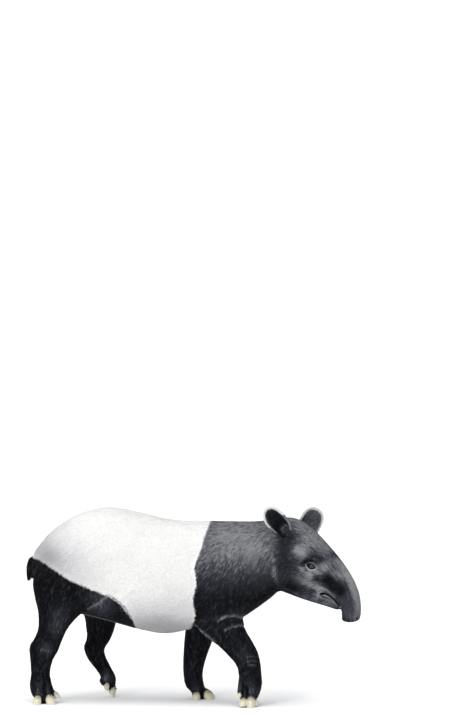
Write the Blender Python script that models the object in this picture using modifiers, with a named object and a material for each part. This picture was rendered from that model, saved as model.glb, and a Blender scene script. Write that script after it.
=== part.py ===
"""A Malayan tapir in mid walk, life size, divided into its named parts.

Metres, +Z up. The animal faces +X, its right side is at -Y, and the floor is z = 0. The trunk,
neck, head, legs and toes are lofts between outlines. They are fused and smoothed into one body,
thinned to few faces, fitted with ears, lids, mouth and nostrils, and parted with thin cuts.
"""

import math
from dataclasses import dataclass

import bmesh
import bpy
import numpy as np
from mathutils import Matrix, Vector

# Driving dimensions. The outlines below draw an animal 1.00 m high at the shoulder.
CUT_GAP = 0.0003
HEAD_TURN = math.radians(12.0)
NECK_TURN_FROM = 0.34
NECK_TURN_TO = 0.47
TURN_PIVOT = 0.40
EAR_THICKNESS = 0.0065
EAR_TIP_ROUNDING = 0.007
EYE_RADIUS = 0.0165
EYE_DEPTH = 0.0122
LID_RADIUS = 0.0202
EYE_OPENING = (0.0185, 0.0092)
MOUTH_RADIUS = 0.0072
HOOF_LENGTH = 0.052
HOOF_WIDTH = 0.050
HOOF_HEIGHT = 0.053
HOOF_FULLNESS = 2.7
PAD_RADII = (0.054, 0.031, 0.037)
PAD_BACK = 0.070
RIGHT, LEFT = -1, 1
CUTTERS = "cutters"

# How fine the fused body is before and after it is thinned.
FUSE_GRID = 0.0075
FUSE_SMOOTHING = 9
BODY_TRIANGLES = 5000
HEAD_FROM = 0.46
FEET_BELOW = 0.12
HEAD_KEEP = 0.0003

BLACK_COAT = (0.022, 0.022, 0.026, 1.0)
WHITE_COAT = (0.72, 0.71, 0.68, 1.0)
HORN = (0.55, 0.49, 0.36, 1.0)
EYE_BROWN = (0.02, 0.012, 0.008, 1.0)


@dataclass(frozen=True)
class Ring:
    """A cross-section: two opposite edge points (x, z), and how wide and how full it is across."""

    top: tuple
    bottom: tuple
    half_width: float
    side: float = 0.0
    waist: float = 0.5
    crown: float = 2.0
    keel: float = 2.0

    def numbers(self):
        """The section as a row of numbers, for interpolation."""
        return [*self.top, *self.bottom, self.half_width, self.side, self.waist, self.crown, self.keel]


TRUNK = [
    Ring((-0.850, 0.848), (-0.868, 0.660), 0.105, waist=0.50, crown=2.1, keel=2.2),
    Ring((-0.785, 0.925), (-0.800, 0.555), 0.172, waist=0.50, crown=2.1, keel=2.2),
    Ring((-0.680, 1.003), (-0.690, 0.500), 0.222, waist=0.52, crown=2.15, keel=2.3),
    Ring((-0.560, 1.053), (-0.560, 0.468), 0.240, waist=0.52, crown=2.1, keel=2.3),
    Ring((-0.430, 1.070), (-0.425, 0.436), 0.250, waist=0.50, crown=2.0, keel=2.3),
    Ring((-0.285, 1.045), (-0.285, 0.400), 0.268, waist=0.47, crown=2.0, keel=2.2),
    Ring((-0.135, 1.010), (-0.140, 0.378), 0.278, waist=0.45, crown=1.95, keel=2.15),
    Ring((0.010, 1.000), (0.000, 0.404), 0.262, waist=0.46, crown=1.95, keel=2.3),
    Ring((0.140, 1.002), (0.125, 0.430), 0.232, waist=0.48, crown=1.95, keel=2.5),
    Ring((0.255, 1.002), (0.250, 0.452), 0.194, waist=0.50, crown=2.0, keel=2.3),
    Ring((0.350, 1.003), (0.350, 0.512), 0.156, waist=0.52, crown=2.05, keel=1.9),
    Ring((0.430, 1.012), (0.435, 0.574), 0.136, waist=0.54, crown=2.1, keel=1.9),
    Ring((0.520, 1.030), (0.494, 0.620), 0.118, waist=0.52, crown=2.1, keel=2.1),
    Ring((0.608, 1.018), (0.560, 0.606), 0.119, waist=0.50, crown=2.1, keel=2.4),
    Ring((0.698, 0.957), (0.632, 0.594), 0.113, waist=0.52, crown=2.1, keel=2.4),
    Ring((0.785, 0.873), (0.704, 0.604), 0.092, waist=0.48, crown=2.1, keel=2.8),
    Ring((0.862, 0.787), (0.766, 0.602), 0.078, waist=0.45, crown=2.1, keel=3.2),
    Ring((0.918, 0.702), (0.826, 0.577), 0.068, waist=0.45, crown=2.2, keel=3.2),
    Ring((0.951, 0.622), (0.856, 0.546), 0.061, waist=0.48, crown=2.3, keel=2.9),
    Ring((0.962, 0.545), (0.858, 0.511), 0.054, waist=0.50, crown=2.4, keel=2.5),
    Ring((0.959, 0.484), (0.857, 0.479), 0.051, waist=0.50, crown=2.5, keel=2.5),
]

LOWER_JAW = [
    Ring((0.570, 0.670), (0.555, 0.610), 0.070, crown=2.4, keel=2.3),
    Ring((0.645, 0.648), (0.630, 0.586), 0.078, crown=2.4, keel=2.3),
    Ring((0.728, 0.620), (0.718, 0.564), 0.079, crown=2.4, keel=2.4),
    Ring((0.796, 0.598), (0.784, 0.546), 0.068, crown=2.6, keel=2.4),
    Ring((0.844, 0.567), (0.834, 0.531), 0.052, crown=2.8, keel=2.5),
]

HIND_LEG_RIGHT = [
    Ring((-0.540, 0.840), (-0.800, 0.830), 0.080, side=-0.125),
    Ring((-0.490, 0.715), (-0.860, 0.690), 0.100, side=-0.130),
    Ring((-0.492, 0.590), (-0.851, 0.585), 0.095, side=-0.138),
    Ring((-0.566, 0.515), (-0.830, 0.500), 0.080, side=-0.148),
    Ring((-0.649, 0.430), (-0.829, 0.412), 0.063, side=-0.155),
    Ring((-0.692, 0.350), (-0.850, 0.356), 0.053, side=-0.158),
    Ring((-0.711, 0.295), (-0.877, 0.310), 0.052, side=-0.160),
    Ring((-0.745, 0.235), (-0.872, 0.236), 0.048, side=-0.160),
    Ring((-0.760, 0.170), (-0.868, 0.165), 0.047, side=-0.160),
    Ring((-0.752, 0.112), (-0.874, 0.105), 0.053, side=-0.162),
    Ring((-0.742, 0.070), (-0.869, 0.062), 0.050, side=-0.162),
    Ring((-0.768, 0.042), (-0.858, 0.038), 0.038, side=-0.162),
]

HIND_LEG_LEFT = [
    Ring((-0.500, 0.830), (-0.780, 0.830), 0.080, side=0.125),
    Ring((-0.440, 0.700), (-0.810, 0.690), 0.100, side=0.132),
    Ring((-0.425, 0.590), (-0.760, 0.570), 0.095, side=0.140),
    Ring((-0.430, 0.500), (-0.635, 0.480), 0.082, side=0.148),
    Ring((-0.443, 0.405), (-0.610, 0.385), 0.064, side=0.155),
    Ring((-0.471, 0.325), (-0.608, 0.325), 0.053, side=0.160),
    Ring((-0.504, 0.272), (-0.624, 0.275), 0.052, side=0.162),
    Ring((-0.500, 0.225), (-0.601, 0.210), 0.045, side=0.164),
    Ring((-0.470, 0.165), (-0.550, 0.145), 0.042, side=0.166),
    Ring((-0.445, 0.115), (-0.521, 0.096), 0.042, side=0.168),
    Ring((-0.442, 0.082), (-0.504, 0.068), 0.036, side=0.168),
]

FORELEG_RIGHT = [
    Ring((0.270, 0.760), (0.070, 0.760), 0.060, side=-0.112),
    Ring((0.300, 0.630), (0.045, 0.630), 0.074, side=-0.122),
    Ring((0.305, 0.520), (0.035, 0.510), 0.076, side=-0.130),
    Ring((0.316, 0.430), (0.070, 0.405), 0.078, side=-0.140),
    Ring((0.358, 0.360), (0.166, 0.332), 0.070, side=-0.147),
    Ring((0.404, 0.295), (0.230, 0.272), 0.064, side=-0.152),
    Ring((0.428, 0.232), (0.271, 0.222), 0.060, side=-0.156),
    Ring((0.438, 0.172), (0.283, 0.170), 0.055, side=-0.158),
    Ring((0.442, 0.122), (0.280, 0.122), 0.057, side=-0.160),
    Ring((0.427, 0.075), (0.276, 0.072), 0.052, side=-0.161),
    Ring((0.403, 0.042), (0.292, 0.040), 0.040, side=-0.162),
]

FORELEG_LEFT = [
    Ring((0.250, 0.760), (0.050, 0.760), 0.060, side=0.112),
    Ring((0.230, 0.630), (0.000, 0.630), 0.074, side=0.122),
    Ring((0.185, 0.520), (-0.035, 0.510), 0.076, side=0.130),
    Ring((0.130, 0.425), (-0.050, 0.410), 0.076, side=0.140),
    Ring((0.102, 0.335), (-0.060, 0.330), 0.066, side=0.147),
    Ring((0.072, 0.255), (-0.067, 0.250), 0.056, side=0.152),
    Ring((0.050, 0.185), (-0.069, 0.180), 0.052, side=0.156),
    Ring((0.041, 0.125), (-0.066, 0.120), 0.047, side=0.158),
    Ring((0.049, 0.078), (-0.055, 0.070), 0.045, side=0.159),
    Ring((0.045, 0.042), (-0.027, 0.040), 0.036, side=0.160),
]

TAIL = [
    Ring((-0.868, 0.803), (-0.850, 0.758), 0.024, crown=2.2),
    Ring((-0.905, 0.782), (-0.878, 0.747), 0.023, crown=2.2),
    Ring((-0.919, 0.724), (-0.888, 0.714), 0.020, crown=2.2),
    Ring((-0.918, 0.670), (-0.890, 0.666), 0.014, crown=2.2),
]


@dataclass(frozen=True)
class Toe:
    """A toe: the foot it is on, its tip, the way it points, its size against a middle toe, its tilt."""

    node: str
    tip: tuple
    heading: float
    size: float = 1.0
    lift: float = 0.0
    droop: float = 0.0


def spread_toes(foot, ankle, heading, side, toes):
    """The toes of a flat foot, fanned about its middle line.

    Each of toes is (digit, degrees outwards from the middle line, reach, size, lift)."""
    made = []
    for digit, outwards, reach, size, lift in toes:
        angle = heading + side * outwards
        tip = (
            ankle[0] + reach * math.cos(math.radians(angle)),
            ankle[1] + reach * math.sin(math.radians(angle)),
        )
        made.append(Toe(f"hoof_{foot}_{digit}", tip, angle, size, lift))
    return made


NEAR_FORE_DIGITS = [
    (3, 0, 0.100, 1.32, 0.0),
    (2, -48, 0.081, 0.82, 0.008),
    (4, 46, 0.092, 0.84, 0.010),
    (5, 84, 0.076, 0.58, 0.050),
]
FAR_FORE_DIGITS = [
    (3, 0, 0.104, 1.02, 0.0),
    (2, -60, 0.094, 0.86, 0.0),
    (4, 46, 0.102, 0.86, 0.002),
    (5, 100, 0.078, 0.66, 0.024),
]
HIND_DIGITS = [(3, 0, 0.112, 1.06, 0.0), (2, -50, 0.108, 0.74, 0.026), (4, 60, 0.094, 0.94, 0.0)]
TOES = [
    *spread_toes("fore_right", (0.342, -0.160), -66, RIGHT, NEAR_FORE_DIGITS),
    *spread_toes("fore_left", (0.008, 0.162), -24, LEFT, FAR_FORE_DIGITS),
    *spread_toes("hind_right", (-0.811, -0.162), -40, RIGHT, HIND_DIGITS),
    Toe("hoof_hind_left_3", (-0.456, 0.168), 0, 0.86, 0.003, 46),
    Toe("hoof_hind_left_2", (-0.484, 0.130), -14, 0.66, 0.040, 42),
    Toe("hoof_hind_left_4", (-0.476, 0.207), 12, 0.72, 0.024, 42),
]


@dataclass(frozen=True)
class Stroke:
    """A swelling or hollow along a line of points, on one side or on both."""

    points: tuple
    radius: float
    height: float
    both: bool = True


FORMS = [
    # Shoulder blade, with the hollows before and behind it
    Stroke(((0.11, -0.20, 0.90), (0.20, -0.21, 0.60)), 0.120, 0.010),
    Stroke(((0.34, -0.16, 0.88), (0.36, -0.13, 0.68)), 0.090, -0.007),
    Stroke(((-0.03, -0.26, 0.82), (-0.01, -0.23, 0.54)), 0.110, -0.009),
    # Hip, flank hollow, the crease before the thigh and the hollow behind it
    Stroke(((-0.47, -0.17, 0.96),), 0.130, 0.006),
    Stroke(((-0.37, -0.26, 0.74),), 0.150, -0.011),
    Stroke(((-0.44, -0.24, 0.61), (-0.54, -0.21, 0.53), (-0.60, -0.19, 0.46)), 0.050, -0.007),
    Stroke(((-0.77, -0.20, 0.78), (-0.78, -0.20, 0.60)), 0.070, -0.005),
    # Skull: brow, cheek bone, temple, the hollow before the eye, and the jaw muscle
    Stroke(((0.700, -0.090, 0.818),), 0.045, 0.006),
    Stroke(((0.620, -0.118, 0.725), (0.745, -0.100, 0.712)), 0.050, 0.005),
    Stroke(((0.600, -0.105, 0.860),), 0.055, -0.008),
    Stroke(((0.775, -0.090, 0.750), (0.815, -0.080, 0.705)), 0.050, -0.007),
    Stroke(((0.575, -0.112, 0.670),), 0.070, 0.009),
    Stroke(((0.508, -0.122, 0.850), (0.496, -0.116, 0.690)), 0.036, -0.010),
    Stroke(((0.880, -0.066, 0.690), (0.905, -0.058, 0.560)), 0.035, -0.004),
]

# Line of the mouth seen from the side, from its corner forward.
MOUTH_LINE = [(0.753, 0.619), (0.775, 0.624), (0.801, 0.611), (0.830, 0.586), (0.854, 0.558)]
EYE_PLACE = (0.711, 0.775)
NOSTRIL = (0.948, 0.024, 0.486)


@dataclass(frozen=True)
class Ear:
    """An ear: its root in the skull, a point that draws its curve, its tip, its open side, its width
    and how blunt its tip is."""

    node: str
    root: tuple
    bend: tuple
    tip: tuple
    opening: tuple
    width: float
    bluntness: float


EARS = [
    Ear(
        "ear_right",
        root=(0.562, -0.080, 0.962),
        bend=(0.538, -0.134, 0.994),
        tip=(0.470, -0.142, 1.086),
        opening=(0.30, -0.95, 0.10),
        width=0.104,
        bluntness=2.4,
    ),
    Ear(
        "ear_left",
        root=(0.592, 0.062, 0.885),
        bend=(0.616, 0.120, 0.965),
        tip=(0.662, 0.136, 1.066),
        opening=(0.46, -0.88, 0.12),
        width=0.118,
        bluntness=3.2,
    ),
]


def smooth_step(t):
    """0 below 0, 1 above 1, and a smooth rise between."""
    t = np.clip(t, 0.0, 1.0)
    return t * t * (3.0 - 2.0 * t)


def catmull_rom(rows, per_span):
    """A smooth run of rows through the given ones."""
    rows = np.array(rows, float)
    padded = np.vstack([2 * rows[0] - rows[1], rows, 2 * rows[-1] - rows[-2]])
    made = []
    for i in range(len(rows) - 1):
        a, b, c, d = padded[i : i + 4]
        for t in np.arange(per_span) / per_span:
            made.append(
                0.5
                * (2 * b + (c - a) * t + (2 * a - 5 * b + 4 * c - d) * t**2 + (3 * b - a - 3 * c + d) * t**3)
            )
    made.append(rows[-1])
    return np.array(made)


def ring_points(row, around):
    """The points round one section, counter-clockwise seen from the end of the loft."""
    top_x, top_z, low_x, low_z, half_width, side, waist, crown, keel = row
    top, low = np.array([top_x, side, top_z]), np.array([low_x, side, low_z])
    middle = low + (top - low) * waist
    angles = np.arange(around) * 2 * math.pi / around
    cos, sin = np.cos(angles), np.sin(angles)
    power = 2.0 / np.where(sin >= 0, crown, keel)
    across = half_width * np.sign(cos) * np.abs(cos) ** power
    along = np.abs(sin) ** power
    points = middle + np.where(sin[:, None] >= 0, top - middle, low - middle) * along[:, None]
    points[:, 1] += across
    return points


def loft(rings, start_bulge, end_bulge, per_span=5, around=32):
    """A closed mesh through the rings, with a rounded end of the given depth at each end."""
    rows = catmull_rom([r.numbers() for r in rings], per_span)
    loops = [ring_points(row, around) for row in rows]
    for outer, inner, bulge, at_start in (
        (loops[0], loops[1], start_bulge, True),
        (loops[-1], loops[-2], end_bulge, False),
    ):
        centre = outer.mean(0)
        away = centre - inner.mean(0)
        away /= np.linalg.norm(away)
        for step in (0.4, 0.7, 0.9):
            shrink = math.cos(step * math.pi / 2)
            cap = centre + (outer - centre) * shrink + away * bulge * math.sin(step * math.pi / 2)
            if at_start:
                loops.insert(0, cap)
            else:
                loops.append(cap)
        tip = centre + away * bulge
        if at_start:
            first_tip = tip
        else:
            last_tip = tip
    made = bmesh.new()
    rows_of_verts = [[made.verts.new(p) for p in loop] for loop in loops]
    for low, high in zip(rows_of_verts, rows_of_verts[1:]):
        for i in range(around):
            j = (i + 1) % around
            made.faces.new((low[i], low[j], high[j], high[i]))
    for tip, verts in ((first_tip, rows_of_verts[0]), (last_tip, rows_of_verts[-1])):
        pole = made.verts.new(tip)
        for i in range(around):
            made.faces.new((verts[i], verts[(i + 1) % around], pole))
    bmesh.ops.recalc_face_normals(made, faces=made.faces)
    return made


def mesh_of(name, made):
    """A mesh datablock from a bmesh, which is freed."""
    mesh = bpy.data.meshes.new(name)
    made.to_mesh(mesh)
    made.free()
    return mesh


def add_object(name, mesh, collection):
    """A new object in a collection. One among the cutters shows as wire and never renders."""
    obj = bpy.data.objects.new(name, mesh)
    collection.objects.link(obj)
    if collection.name == CUTTERS:
        obj.hide_render = True
        obj.display_type = "WIRE"
    return obj


def settled(obj):
    """The object with its modifiers applied to its mesh."""
    bpy.context.view_layer.update()
    graph = bpy.context.evaluated_depsgraph_get()
    mesh = bpy.data.meshes.new_from_object(obj.evaluated_get(graph))
    obj.modifiers.clear()
    old = obj.data
    obj.data = mesh
    if old.users == 0 and isinstance(old, bpy.types.Mesh):
        bpy.data.meshes.remove(old)
    return obj


def boolean(obj, other, operation):
    """Adds, cuts or keeps what is common with another closed object, at once."""
    modifier = obj.modifiers.new(operation.lower(), "BOOLEAN")
    modifier.operation = operation
    modifier.solver = "EXACT"
    modifier.object = other
    return settled(obj)


def largest_piece(obj):
    """Keeps only the largest closed surface of an object."""
    made = bmesh.new()
    made.from_mesh(obj.data)
    left, islands = set(made.verts), []
    while left:
        island, front = set(), [next(iter(left))]
        while front:
            vert = front.pop()
            if vert in island:
                continue
            island.add(vert)
            front += [edge.other_vert(vert) for edge in vert.link_edges]
        left -= island
        islands.append(island)
    keep = max(islands, key=len)
    bmesh.ops.delete(made, geom=[v for v in made.verts if v not in keep], context="VERTS")
    made.to_mesh(obj.data)
    made.free()
    return obj


def toe_pad(toe):
    """The fleshy toe behind a hoof: a tapered lobe that runs back into the foot."""
    made = bmesh.new()
    bmesh.ops.create_uvsphere(made, u_segments=16, v_segments=10, radius=1.0)
    length, width, height = (size * toe.size for size in PAD_RADII)
    for vert in made.verts:
        x, y, z = vert.co
        vert.co = (x * length, y * width * (1.0 - 0.12 * x), z * height * (1.0 - 0.22 * x))
    back = PAD_BACK * toe.size
    place = (
        Matrix.Translation((*toe.tip, toe.lift))
        @ Matrix.Rotation(math.radians(toe.heading), 4, "Z")
        @ Matrix.Rotation(math.radians(toe.droop), 4, "Y")
        @ Matrix.Translation((-back, 0, height * 0.86))
    )
    bmesh.ops.transform(made, matrix=place, verts=made.verts)
    return made


def hoof(toe, margin=0.0):
    """A toe's rounded hoof: a domed wall that slopes forward to a flat edge under it."""
    made = bmesh.new()
    bmesh.ops.create_uvsphere(made, u_segments=12, v_segments=7, radius=1.0)
    length, width, height = HOOF_LENGTH * toe.size, HOOF_WIDTH * toe.size, HOOF_HEIGHT * toe.size
    for vert in made.verts:
        x, y, z = vert.co
        spread = max(math.hypot(x, y), 0.001)
        fuller = max(1.0 - abs(z) ** HOOF_FULLNESS, 0.0) ** (1.0 / HOOF_FULLNESS) / spread
        z_up = max((z * 0.85 + 0.15) * height, -0.002)
        forward = x * fuller * length * 0.50 - z_up * 0.46
        vert.co = (forward, y * fuller * width * 0.5 * (1.0 - 0.10 * x), z_up)
    bmesh.ops.triangulate(made, faces=made.faces)
    made.normal_update()
    if margin:
        for vert in made.verts:
            vert.co += vert.normal * margin
    place = (
        Matrix.Translation((*toe.tip, toe.lift))
        @ Matrix.Rotation(math.radians(toe.heading), 4, "Z")
        @ Matrix.Rotation(math.radians(toe.droop), 4, "Y")
        @ Matrix.Translation((-length * 0.42, 0, 0))
    )
    bmesh.ops.transform(made, matrix=place, verts=made.verts)
    return made


def fused_body(shop):
    """All the flesh as one smooth surface on a fine grid."""
    pieces = [
        loft(TRUNK, 0.022, 0.018, around=48),
        loft(LOWER_JAW, 0.01, 0.010),
        loft(HIND_LEG_RIGHT, 0.03, 0.014),
        loft(HIND_LEG_LEFT, 0.03, 0.014),
        loft(FORELEG_RIGHT, 0.03, 0.014),
        loft(FORELEG_LEFT, 0.03, 0.014),
        loft(TAIL, 0.01, 0.010, around=20),
        *[toe_pad(toe) for toe in TOES],
    ]
    joined = bmesh.new()
    for made in pieces:
        part = mesh_of("piece", made)
        joined.from_mesh(part)
        bpy.data.meshes.remove(part)
    body = add_object("body", mesh_of("body", joined), shop)
    remesh = body.modifiers.new("fuse", "REMESH")
    remesh.mode = "VOXEL"
    remesh.voxel_size = FUSE_GRID
    smooth = body.modifiers.new("smooth", "SMOOTH")
    smooth.factor = 0.5
    smooth.iterations = FUSE_SMOOTHING
    return settled(body)


def distance_to_line(points, line):
    """The distance of each point from a run of straight pieces, or from a single point."""
    line = np.array(line, float)
    if len(line) == 1:
        return np.linalg.norm(points - line[0], axis=1)
    nearest = np.full(len(points), np.inf)
    for start, end in zip(line, line[1:]):
        span = end - start
        t = np.clip((points - start) @ span / (span @ span), 0, 1)
        nearest = np.minimum(nearest, np.linalg.norm(points - start - t[:, None] * span, axis=1))
    return nearest


def model_forms(mesh, strokes):
    """Raises and hollows the surface along the strokes, along its own normals."""
    count = len(mesh.vertices)
    points, normals = np.empty(count * 3), np.empty(count * 3)
    mesh.vertices.foreach_get("co", points)
    mesh.vertices.foreach_get("normal", normals)
    points, normals = points.reshape(-1, 3), normals.reshape(-1, 3)
    shift = np.zeros(count)
    for stroke in strokes:
        for mirror in (1, -1) if stroke.both else (1,):
            line = [(x, y * mirror, z) for x, y, z in stroke.points]
            shift += stroke.height * smooth_step(1 - distance_to_line(points, line) / stroke.radius)
    points += normals * shift[:, None]
    mesh.vertices.foreach_set("co", points.ravel())
    mesh.update()


def thin_faces(body):
    """Cuts the number of triangles, keeping the head finest, then the feet, then the trunk."""
    group = body.vertex_groups.new(name="coarse")
    for vert in body.data.vertices:
        head = float(smooth_step((vert.co.x - HEAD_FROM) / 0.10))
        foot = float(smooth_step((FEET_BELOW - vert.co.z) / 0.06)) * 0.5
        group.add([vert.index], 1.0 - 0.75 * max(head, foot), "REPLACE")
    thin = body.modifiers.new("thin", "DECIMATE")
    thin.ratio = BODY_TRIANGLES / (2 * len(body.data.polygons))
    thin.use_collapse_triangulate = True
    thin.vertex_group = "coarse"
    thin.vertex_group_factor = HEAD_KEEP
    settled(body)
    body.vertex_groups.clear()
    return body


def ear_grid(ear, rows=10, columns=8, outward=0.0):
    """Points of a round-tipped leaf, cupped to its opening and rolled into a tube at its foot."""
    root, bend_point, tip = Vector(ear.root), Vector(ear.bend), Vector(ear.tip)
    grid = []
    for i in range(rows + 1):
        t = 1.0 - (1.0 - i / rows) ** 1.6
        spine = root * (1 - t) ** 2 + bend_point * 2 * t * (1 - t) + tip * t**2
        axis = ((bend_point - root) * (1 - t) + (tip - bend_point) * t).normalized()
        opening = Vector(ear.opening)
        opening = (opening - opening.dot(axis) * axis).normalized()
        across = axis.cross(opening)
        taper = ((t - 0.58) / 0.455) ** ear.bluntness if t > 0.58 else 0.66 * ((0.58 - t) / 0.58) ** 1.3
        half = ear.width * 0.5 * math.sqrt(1.0 - taper)
        roll = 0.80 + 1.75 * (1.0 - t) ** 2.0
        radius = half / (math.sin(roll) if roll < math.pi / 2 else 1.0)
        sink = ear.width * 0.14 * math.sin(math.pi * t) + radius * (1 - t) ** 2
        line = []
        for j in range(columns + 1):
            share = 2.0 * j / columns - 1.0
            bend = roll * share
            rise = radius - (radius + outward) * math.cos(bend) - sink
            back = axis * EAR_TIP_ROUNDING * share**2 * t**6
            line.append(spine - back + across * (radius + outward) * math.sin(bend) + opening * rise)
        grid.append(line)
    return grid


def ear_object(ear, collection):
    """The ear as a closed cup of even thickness."""
    made = bmesh.new()
    grid = [[made.verts.new(place) for place in line] for line in ear_grid(ear)]
    for low, high in zip(grid, grid[1:]):
        for j in range(len(low) - 1):
            made.faces.new((low[j], low[j + 1], high[j + 1], high[j]))
    made.normal_update()
    obj = add_object(ear.node, mesh_of(ear.node, made), collection)
    shell = obj.modifiers.new("shell", "SOLIDIFY")
    shell.thickness = EAR_THICKNESS
    shell.offset = 0.0
    shell.use_rim = True
    settled(obj)
    made = bmesh.new()
    made.from_mesh(obj.data)
    bmesh.ops.triangulate(made, faces=made.faces)
    bmesh.ops.recalc_face_normals(made, faces=made.faces)
    made.to_mesh(obj.data)
    made.free()
    return obj


def ear_room(ear, collection):
    """The whole hollow that an ear encloses, closed across its open side."""
    made = bmesh.new()
    lines = ear_grid(ear, outward=EAR_THICKNESS * 0.4)
    grid = [[made.verts.new(place) for place in line] for line in lines]
    for low, high in zip(grid, grid[1:]):
        for j in range(len(low)):
            k = (j + 1) % len(low)
            made.faces.new((low[j], low[k], high[k], high[j]))
    made.faces.new(grid[0])
    made.faces.new(grid[-1])
    bmesh.ops.triangulate(made, faces=made.faces)
    bmesh.ops.recalc_face_normals(made, faces=made.faces)
    return add_object("ear_room", mesh_of("ear_room", made), collection)


def grown(obj, margin, collection):
    """A copy of a closed object with every face moved out by the margin."""
    copy = add_object(obj.name + "_clearance", obj.data.copy(), collection)
    made = bmesh.new()
    made.from_mesh(copy.data)
    made.normal_update()
    moves = []
    for vert in made.verts:
        slack = min((abs(vert.normal.dot(face.normal)) for face in vert.link_faces), default=1.0)
        moves.append((vert, vert.normal * margin / max(slack, 0.35)))
    for vert, move in moves:
        vert.co += move
    made.to_mesh(copy.data)
    made.free()
    return copy


def tube(name, points, radius, collection, sides=3):
    """A closed round tube along a smooth line."""
    curve = bpy.data.curves.new(name, "CURVE")
    curve.dimensions = "3D"
    curve.bevel_depth = radius
    curve.bevel_resolution = sides
    curve.use_fill_caps = True
    line = catmull_rom(points, 3)
    spline = curve.splines.new("POLY")
    spline.points.add(len(line) - 1)
    for point, place in zip(spline.points, line):
        point.co = (*place, 1.0)
    obj = add_object(name, curve, collection)
    bpy.context.view_layer.update()
    graph = bpy.context.evaluated_depsgraph_get()
    mesh = bpy.data.meshes.new_from_object(obj.evaluated_get(graph))
    bpy.data.objects.remove(obj)
    made = bmesh.new()
    made.from_mesh(mesh)
    bmesh.ops.remove_doubles(made, verts=made.verts, dist=0.0001)
    bmesh.ops.recalc_face_normals(made, faces=made.faces)
    made.to_mesh(mesh)
    made.free()
    return add_object(name, mesh, collection)


def ball(name, centre, radii, collection, fineness=12, turn=None):
    """A closed ball or ellipsoid."""
    made = bmesh.new()
    bmesh.ops.create_uvsphere(made, u_segments=fineness, v_segments=fineness * 5 // 8, radius=1.0)
    bmesh.ops.triangulate(made, faces=made.faces)
    place = Matrix.Translation(centre) @ (turn or Matrix.Identity(4)) @ Matrix.Diagonal((*radii, 1.0))
    bmesh.ops.transform(made, matrix=place, verts=made.verts)
    return add_object(name, mesh_of(name, made), collection)


def ground(collection):
    """A block under the floor, wider than the animal."""
    made = bmesh.new()
    bmesh.ops.create_cube(made, size=1.0)
    place = Matrix.Translation((0, 0, -0.5)) @ Matrix.Diagonal((6.0, 6.0, 1.0, 1.0))
    bmesh.ops.transform(made, matrix=place, verts=made.verts)
    return add_object("ground", mesh_of("ground", made), collection)


def surface_y(body, x, z, side):
    """How far out the body's skin lies at a place seen from one side."""
    hit, place, _, _ = body.ray_cast((x, side * 1.0, z), (0, -side, 0))
    return place.y if hit else side * 0.1


def prism(name, outline, flat, low, high, collection):
    """A closed prism on an outline. Its ends lie across the given axis, 0 for x and 1 for y."""
    made = bmesh.new()
    ends = []
    for level in (low, high):
        loop = []
        for a, b in outline:
            loop.append(made.verts.new((level, a, b) if flat == 0 else (a, level, b)))
        ends.append(loop)
    for end in ends:
        made.faces.new(end)
    for i in range(len(outline)):
        j = (i + 1) % len(outline)
        made.faces.new((ends[0][i], ends[0][j], ends[1][j], ends[1][i]))
    bmesh.ops.recalc_face_normals(made, faces=made.faces)
    bmesh.ops.triangulate(made, faces=made.faces)
    return add_object(name, mesh_of(name, made), collection)


def eye_and_lids(body, side, flesh, shop):
    """Fits an eyeball in its socket behind two lids that leave an almond between them."""
    x, z = EYE_PLACE
    centre = Vector((x, surface_y(body, x, z, side) - side * EYE_DEPTH, z))
    boolean(body, ball("lids", centre, [LID_RADIUS] * 3, shop, 20), "UNION")
    half_long, half_tall = EYE_OPENING
    almond = []
    for step in range(16):
        angle = 2 * math.pi * step / 16
        along = half_long * math.cos(angle)
        tall = half_tall * math.sin(angle) * abs(math.sin(angle)) ** 0.35
        almond.append((x + along + 0.18 * tall, z + tall - 0.22 * along))
    reach = sorted((centre.y, centre.y + side * 0.06))
    boolean(body, prism("almond", almond, 1, *reach, shop), "DIFFERENCE")
    boolean(body, ball("socket", centre, [EYE_RADIUS + CUT_GAP] * 3, shop), "DIFFERENCE")
    return ball(f"eye_{'right' if side < 0 else 'left'}", centre, [EYE_RADIUS] * 3, flesh)


def carve_face(body, shop):
    """Cuts the line of the mouth and the two nostrils."""
    side_line = [(x, surface_y(body, x, z, RIGHT) + 0.002, z) for x, z in MOUTH_LINE]
    x, y, z = side_line[0]
    side_line[0] = (x, y + 0.007, z)
    x, y, z = side_line[-1]
    front = [(x + 0.014, y * 0.6, z - 0.010), (x + 0.017, 0.0, z - 0.012)]
    half = side_line + front
    line = half + [(x, -y, z) for x, y, z in half[-2::-1]]
    boolean(body, tube("mouth", line, MOUTH_RADIUS, shop), "DIFFERENCE")
    x, y, z = NOSTRIL
    for side in (RIGHT, LEFT):
        turn = Matrix.Rotation(math.radians(35), 4, "Y")
        nostril = ball("nostril", (x, side * y, z), (0.011, 0.0085, 0.020), shop, 12, turn)
        boolean(body, nostril, "DIFFERENCE")


@dataclass(frozen=True)
class Part:
    """A piece cut off by a prism: the outline, the axis across its ends, and their places."""

    node: str
    outline: tuple
    flat: int
    low: float
    high: float


def leg_outline(side, groin, rise):
    """A leg's outline seen from the front: below a line that climbs outward from the groin."""
    inner = side * 0.02
    outer = side * 0.50
    return ((inner, -0.1), (outer, -0.1), (outer, groin + rise * 0.48), (inner, groin))


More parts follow.
